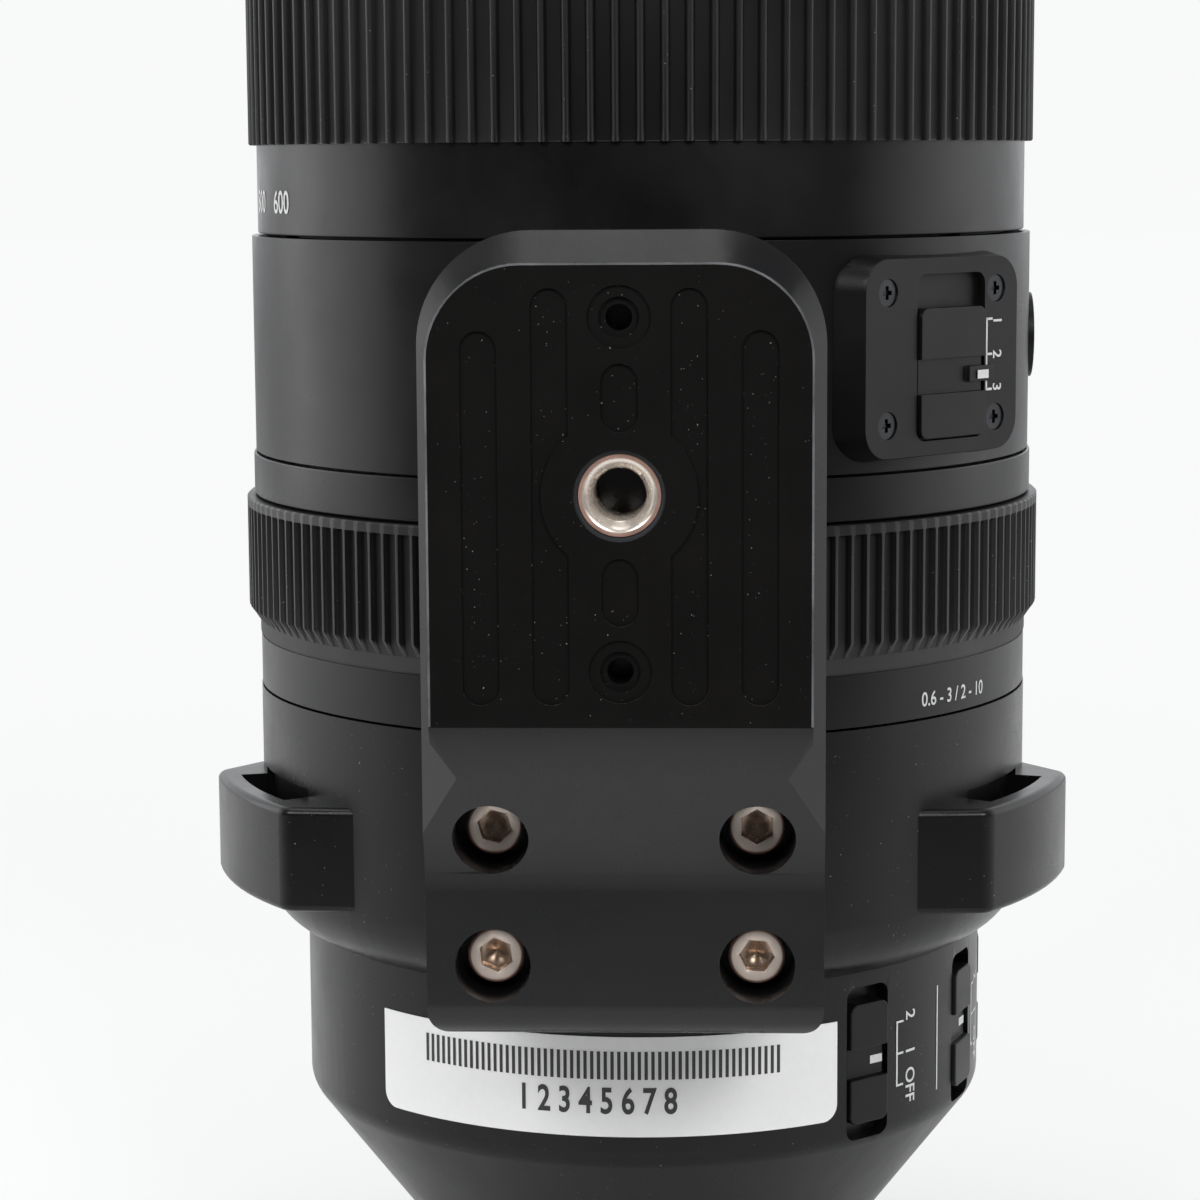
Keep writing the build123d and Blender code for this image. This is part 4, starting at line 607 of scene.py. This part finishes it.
FOCUS_ROUND = 0.25
focus_levels = [(FOCUS_Z + 1.9, FOCUS_R - 1.4, 0.15), (FOCUS_Z + 3.0, FOCUS_R - 0.65, 0.55),
                (FOCUS_Z + 3.9, FOCUS_R, 1), (FOCUS_TOP - 1.45, FOCUS_R, 1), (FOCUS_TOP - 1.25, FOCUS_R, 0),
                (FOCUS_TOP - FOCUS_ROUND, FOCUS_R, 0), (FOCUS_TOP, FOCUS_R - FOCUS_ROUND, 0)]
focus_grip = ribbed("focus_grip_rubber", FOCUS_GRIP_BORE_R, FOCUS_RIBS, focus_levels, "focus_ring", per=12)
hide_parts("focus_grip")

RIM_THREAD_Z0, RIM_THREAD_L, RIM_THREAD_STEPS, RIM_THREAD_ROWS = 259.4, 3.4, 288, 25
RIM_THREAD_R, RIM_THREAD_BACK_R, RIM_THREAD_CUT = 47.46, 47.8, 0.32


def filter_thread():
    """Fine thread inside the front rim, 1 mm pitch: rows over its face, then two rings behind it."""
    around, rows = RIM_THREAD_STEPS, RIM_THREAD_ROWS
    verts = []
    for row in range(rows):
        z = RIM_THREAD_Z0 + RIM_THREAD_L * row / (rows - 1)
        for k in range(around):
            turn = (z + k / around) % 1.0
            verts.append(polar(RIM_THREAD_R - RIM_THREAD_CUT * (1 - abs(2 * turn - 1)), 360 * k / around, z))
    for z in (RIM_THREAD_Z0 + RIM_THREAD_L, RIM_THREAD_Z0):
        verts += [polar(RIM_THREAD_BACK_R, 360 * k / around, z) for k in range(around)]
    faces = []
    for row in range(rows + 2):
        faces += band(row * around, (row + 1) % (rows + 2) * around, around)
    piece("filter_thread_ridges", verts, faces, MATS["satin_black"], "front_barrel",
          THREAD_SMOOTH)


filter_thread()

# Cap heights of the marks, and the narrowing of the scale's characters
ZOOM_TEXT, DISTANCE_TEXT, PANEL_TEXT, SWITCH_TEXT, LABEL_TEXT = 2.9, 1.8, 1.6, 1.9, 3.3
NARROW = 0.92

# Plain numbers and index of the zoom scale, plain numbers of the distances
ZOOM_MARKS = [(-137, "150"), (-122, "200"), (-104, "300"), (-88, "400"), (-73, "500"), (-62, "600")]
SCALE_Z = 151.45
INDEX_Z0, INDEX_Z1, INDEX_HALF = 142.6, 146.0, 0.25
DISTANCE_AZ, DISTANCE_Z = 44.0, 86.9

marks("zoom_scale", [centred(text_mesh(t, ZOOM_TEXT), arc(a, ZOOM_SLEEVE_R), SCALE_Z, stretch=NARROW)
                     for a, t in ZOOM_MARKS], on_round(ZOOM_SLEEVE_R), "zoom_ring")
index = arc(ZOOM_MARKS[0][0], CONTROL_R)
marks("zoom_index", [bar_mesh(index - INDEX_HALF, INDEX_Z0, index + INDEX_HALF, INDEX_Z1)],
      on_round(CONTROL_R), "barrel")
distances = shifted(text_mesh("0.6 - 3 / 2 - 10", DISTANCE_TEXT), arc(DISTANCE_AZ, DISTANCE_R), DISTANCE_Z,
                    stretch=NARROW)
marks("distance_numbers", [distances], on_round(DISTANCE_R), "barrel")

# Marks of the panel and its slider: numbers, a rule with three ticks and the pointer
LINE = 0.15             # half width of a printed line
PANEL_NUMBERS = (("1", 136.0), ("2", 131.7), ("3", 127.5))
PANEL_TICKS = (136.25, 131.75, 127.25)
PANEL_NUMBER_X, PANEL_RULE_X, PANEL_TICK_END = 10.6, 8.5, 9.6
POINTER_X0, POINTER_X1, POINTER_Z0, POINTER_Z1, POINTER_LIFT = 6.1, 8.25, 128.75, 129.85, 0.62
panel_marks = [centred(text_mesh(t, PANEL_TEXT), PANEL_NUMBER_X, z, turn=-90) for t, z in PANEL_NUMBERS]
panel_marks += [bar_mesh(PANEL_RULE_X - LINE, PANEL_TICKS[-1] - LINE,
                         PANEL_RULE_X + LINE, PANEL_TICKS[0] + LINE)]
panel_marks += [bar_mesh(PANEL_RULE_X - LINE, z - LINE, PANEL_TICK_END, z + LINE) for z in PANEL_TICKS]
marks("panel_marks", panel_marks, on_panel(), "barrel")
marks("panel_pointer", [bar_mesh(POINTER_X0, POINTER_Z0, POINTER_X1, POINTER_Z1)], on_panel(POINTER_LIFT),
      "torque_slider")

# Marks of the slide switches: azimuth, body, words from the front down, and a rule to the next switch or not
SWITCHES = ((40.0, "custom_slider", ("2", "1", "OFF"), True),
            (68.0, "stabiliser_slider", ("2", "1", "OFF"), True),
            (96.0, "limiter_slider", ("3", "2", "1"), True),
            (124.0, "focus_mode_slider", ("3", "2", "1"), False))
WORD_Z, TICK_Z, TICK_L = (44.2, 39.3, 34.6), (43.6, 39.3, 35.0), 1.3
WORD_TURN, TICK_TURN, RULE_TURN = 10.0, 6.6, 18.0
RULE_Z0, RULE_Z1 = 32.3, 46.7
for azimuth, body, words, rule in SWITCHES:
    middle = arc(azimuth + WORD_TURN, HOUSING_R)
    parts = [centred(text_mesh(t, SWITCH_TEXT), middle, z, turn=-90) for t, z in zip(words, WORD_Z)]
    tick = arc(azimuth + TICK_TURN, HOUSING_R)
    parts += [bar_mesh(tick, z - LINE, tick + TICK_L, z + LINE) for z in TICK_Z]
    parts.append(bar_mesh(tick - LINE, TICK_Z[-1] - LINE, tick + LINE, TICK_Z[0] + LINE))
    if rule:
        line = arc(azimuth + RULE_TURN, HOUSING_R)
        parts.append(bar_mesh(line - LINE, RULE_Z0, line + LINE, RULE_Z1))
    marks("switch_marks_%d" % azimuth, parts, on_round(HOUSING_R), "barrel")
SLIDER_POINTER = bar_mesh(0.9, 38.75, 3.0, 39.85)
SLIDER_DROP = 0.56      # how far the slider's front lies inside the housing's surface
for azimuth, body, words, rule in SWITCHES:
    marks("pointer_%d" % azimuth, [SLIDER_POINTER],
          lambda x, y, a=azimuth: on_face(a, x, y, HOUSING_R - SLIDER_DROP), body)

# Stock label: even stripes and a plain count
STRIPES, STRIPE_SHARE = 56, 0.5
STRIPE_AZ0, STRIPE_AZ1, STRIPE_Z0, STRIPE_Z1 = -35.2, 23.8, 40.0, 43.7
DIGITS_AZ, DIGITS_SPAN, DIGITS_Z, DIGITS_WEIGHT, LABEL_LIFT = -5.5, 24.5, 37.2, 0.022, 0.22
first = arc(STRIPE_AZ0, HOUSING_R)
pitch = (arc(STRIPE_AZ1, HOUSING_R) - first) / STRIPES
stripes = [bar_mesh(first + k * pitch, STRIPE_Z0, first + (k + STRIPE_SHARE) * pitch, STRIPE_Z1)
           for k in range(STRIPES)]
digits = text_mesh("1 2 3 4 5 6 7 8", LABEL_TEXT, DIGITS_WEIGHT)
digits = centred(digits, arc(DIGITS_AZ, HOUSING_R), DIGITS_Z,
                 stretch=arc(DIGITS_SPAN, HOUSING_R) / width_of(digits))
marks("label_print", stripes + [digits], on_round(HOUSING_R, LABEL_LIFT), "barrel", BLACK_INK)


# Camera at the photograph's view

SENSOR, LENS = 36, 95.34
CAMERA_PLACE = (0.01203, -0.44182, 0.15686)
CAMERA_RIGHT, CAMERA_AHEAD = (0.9992, 0.0397, -0.0059), (-0.0401, 0.9897, -0.1376)


def camera():
    data = bpy.data.cameras.new("photo_view")
    data.sensor_width = SENSOR
    data.sensor_height = SENSOR
    data.sensor_fit = "HORIZONTAL"
    data.lens = LENS
    data.clip_start = 0.01
    thing = bpy.data.objects.new("photo_view", data)
    bpy.context.scene.collection.objects.link(thing)
    back = -Vector(CAMERA_AHEAD).normalized()
    up = back.cross(Vector(CAMERA_RIGHT)).normalized()
    turn = Matrix((up.cross(back), up, back)).transposed().to_4x4()
    thing.matrix_world = Matrix.Translation(CAMERA_PLACE) @ turn
    bpy.context.scene.camera = thing


# Studio: a pale floor and backdrop, and soft boxes. Sizes in metres, power in watts

FLOOR_SIZE, FLOOR_SEEN, FLOOR_MATT, FLOOR_SHADE = 12, (0.945, 0.95, 0.95), 0.80, 0.10
FLOOR_SHADE_Y, FLOOR_MATT_Y = -0.42, -0.10
SHADOW_REACH, PLAIN_REACH, NEAR_GLOW = 0.05, 0.60, 0.6
BACKDROP_SEEN, ROOM_LIGHT = (0.94, 0.945, 0.945), (0.97, 0.98, 1.0)
ROOM_FRONT, ROOM_BACK, FRONT_STRENGTH, BACK_STRENGTH = -0.60, 0.75, 0.03, 1.4
LAMPS = (("high_left", (-0.55, -1.00, 0.80), (0, 0, 0.08), 0.45, 0.45, 7.2),
         ("high_right", (0.50, -1.00, 0.75), (0, 0, 0.08), 0.45, 0.45, 8.0),
         ("top_box", (-0.10, -0.15, 1.10), (0, -0.05, 0.13), 0.7, 0.5, 3.0),
         ("left_box", (-1.0, 0.15, 0.30), (0, 0, 0.13), 0.9, 0.9, 4.2),
         ("right_box", (1.0, 0.15, 0.30), (0, 0, 0.13), 0.9, 0.9, 2.4))


def soft_light(name, place, target, width, height, power):
    data = bpy.data.lights.new(name, "AREA")
    data.shape = "RECTANGLE"
    data.size, data.size_y, data.energy = width, height, power
    thing = bpy.data.objects.new(name, data)
    bpy.context.scene.collection.objects.link(thing)
    thing.location = place
    thing.rotation_euler = (Vector(target) - Vector(place)).to_track_quat("-Z", "Y").to_euler()


def maths(tree, operation, first, second):
    """Result of a maths node on two values, each a socket or a number."""
    node = tree.nodes.new("ShaderNodeMath")
    node.operation = operation
    for end, value in zip(node.inputs, (first, second)):
        if isinstance(value, float):
            end.default_value = value
        else:
            tree.links.new(value, end)
    return node.outputs[0]


def smooth_step(tree, value, start, end, low, high):
    """Fades from low to high while a value goes from start to end."""
    node = tree.nodes.new("ShaderNodeMapRange")
    node.interpolation_type = "SMOOTHSTEP"
    for key, number in (("From Min", start), ("From Max", end), ("To Min", low), ("To Max", high)):
        node.inputs[key].default_value = number
    tree.links.new(value, node.inputs["Value"])
    return node.outputs["Result"]


def along_y(tree, coords):
    """The Y part of a position or direction."""
    node = tree.nodes.new("ShaderNodeSeparateXYZ")
    tree.links.new(coords, node.inputs[0])
    return node.outputs["Y"]


def mixed(tree, share, first, second, kind):
    """Sends a mix of two shaders to the output; kind is that of the output node."""
    mix = tree.nodes.new("ShaderNodeMixShader")
    tree.links.new(share, mix.inputs["Fac"])
    tree.links.new(first.outputs[0], mix.inputs[1])
    tree.links.new(second.outputs[0], mix.inputs[2])
    tree.links.new(mix.outputs[0], tree.nodes.new(kind).inputs["Surface"])


def pale_surface(name):
    """Floor that camera rays see as a pale tone with soft shadows. Light sees it as matt, with painted shade
    towards -Y, where a photographer stands."""
    mat = bpy.data.materials.new(name)
    mat.use_nodes = True
    tree = mat.node_tree
    tree.nodes.clear()
    seen = tree.nodes.new("ShaderNodeLightPath").outputs["Is Camera Ray"]
    glow = tree.nodes.new("ShaderNodeEmission")
    glow.inputs["Color"].default_value = (*FLOOR_SEEN, 1)
    matt = tree.nodes.new("ShaderNodeBsdfDiffuse")
    # Painted shade: light rays see the floor darker towards -Y, camera rays see it pale
    floor_shade = smooth_step(tree, along_y(tree, texture_coords(tree)), FLOOR_SHADE_Y, FLOOR_MATT_Y,
                      FLOOR_SHADE, FLOOR_MATT)
    tone = maths(tree, "MAXIMUM", floor_shade, maths(tree, "MULTIPLY", seen, FLOOR_MATT))
    tree.links.new(tone, matt.inputs["Color"])
    reach = tree.nodes.new("ShaderNodeVectorMath")
    reach.operation = "LENGTH"
    tree.links.new(texture_coords(tree), reach.inputs[0])
    away = smooth_step(tree, reach.outputs["Value"], SHADOW_REACH, PLAIN_REACH, NEAR_GLOW, 1.0)
    mixed(tree, maths(tree, "MULTIPLY", away, seen), matt, glow, "ShaderNodeOutputMaterial")
    return mat


def backdrop():
    """Plain pale room for what the camera sees; its light grows towards the back, so the front stays dark."""
    world = bpy.data.worlds.new("studio")
    world.use_nodes = True
    tree = world.node_tree
    tree.nodes.clear()
    path = tree.nodes.new("ShaderNodeLightPath")
    seen = tree.nodes.new("ShaderNodeBackground")
    seen.inputs["Color"].default_value = (*BACKDROP_SEEN, 1)
    light = tree.nodes.new("ShaderNodeBackground")
    light.inputs["Color"].default_value = (*ROOM_LIGHT, 1)
    ahead = along_y(tree, tree.nodes.new("ShaderNodeTexCoord").outputs["Generated"])
    strength = smooth_step(tree, ahead, ROOM_FRONT, ROOM_BACK, FRONT_STRENGTH, BACK_STRENGTH)
    tree.links.new(strength, light.inputs["Strength"])
    clear = maths(tree, "MAXIMUM", path.outputs["Is Camera Ray"], path.outputs["Is Transmission Ray"])
    mixed(tree, clear, light, seen, "ShaderNodeOutputWorld")
    bpy.context.scene.world = world


def studio():
    bpy.ops.mesh.primitive_plane_add(size=FLOOR_SIZE, location=(0, 0, CAD_BOX[0][2]))
    floor = bpy.context.object
    floor.name = "studio_floor"
    floor.data.materials.append(pale_surface("studio_floor_look"))
    backdrop()
    for lamp in LAMPS:
        soft_light(*lamp)


camera()
studio()
bpy.context.scene.view_settings.view_transform = "Standard"
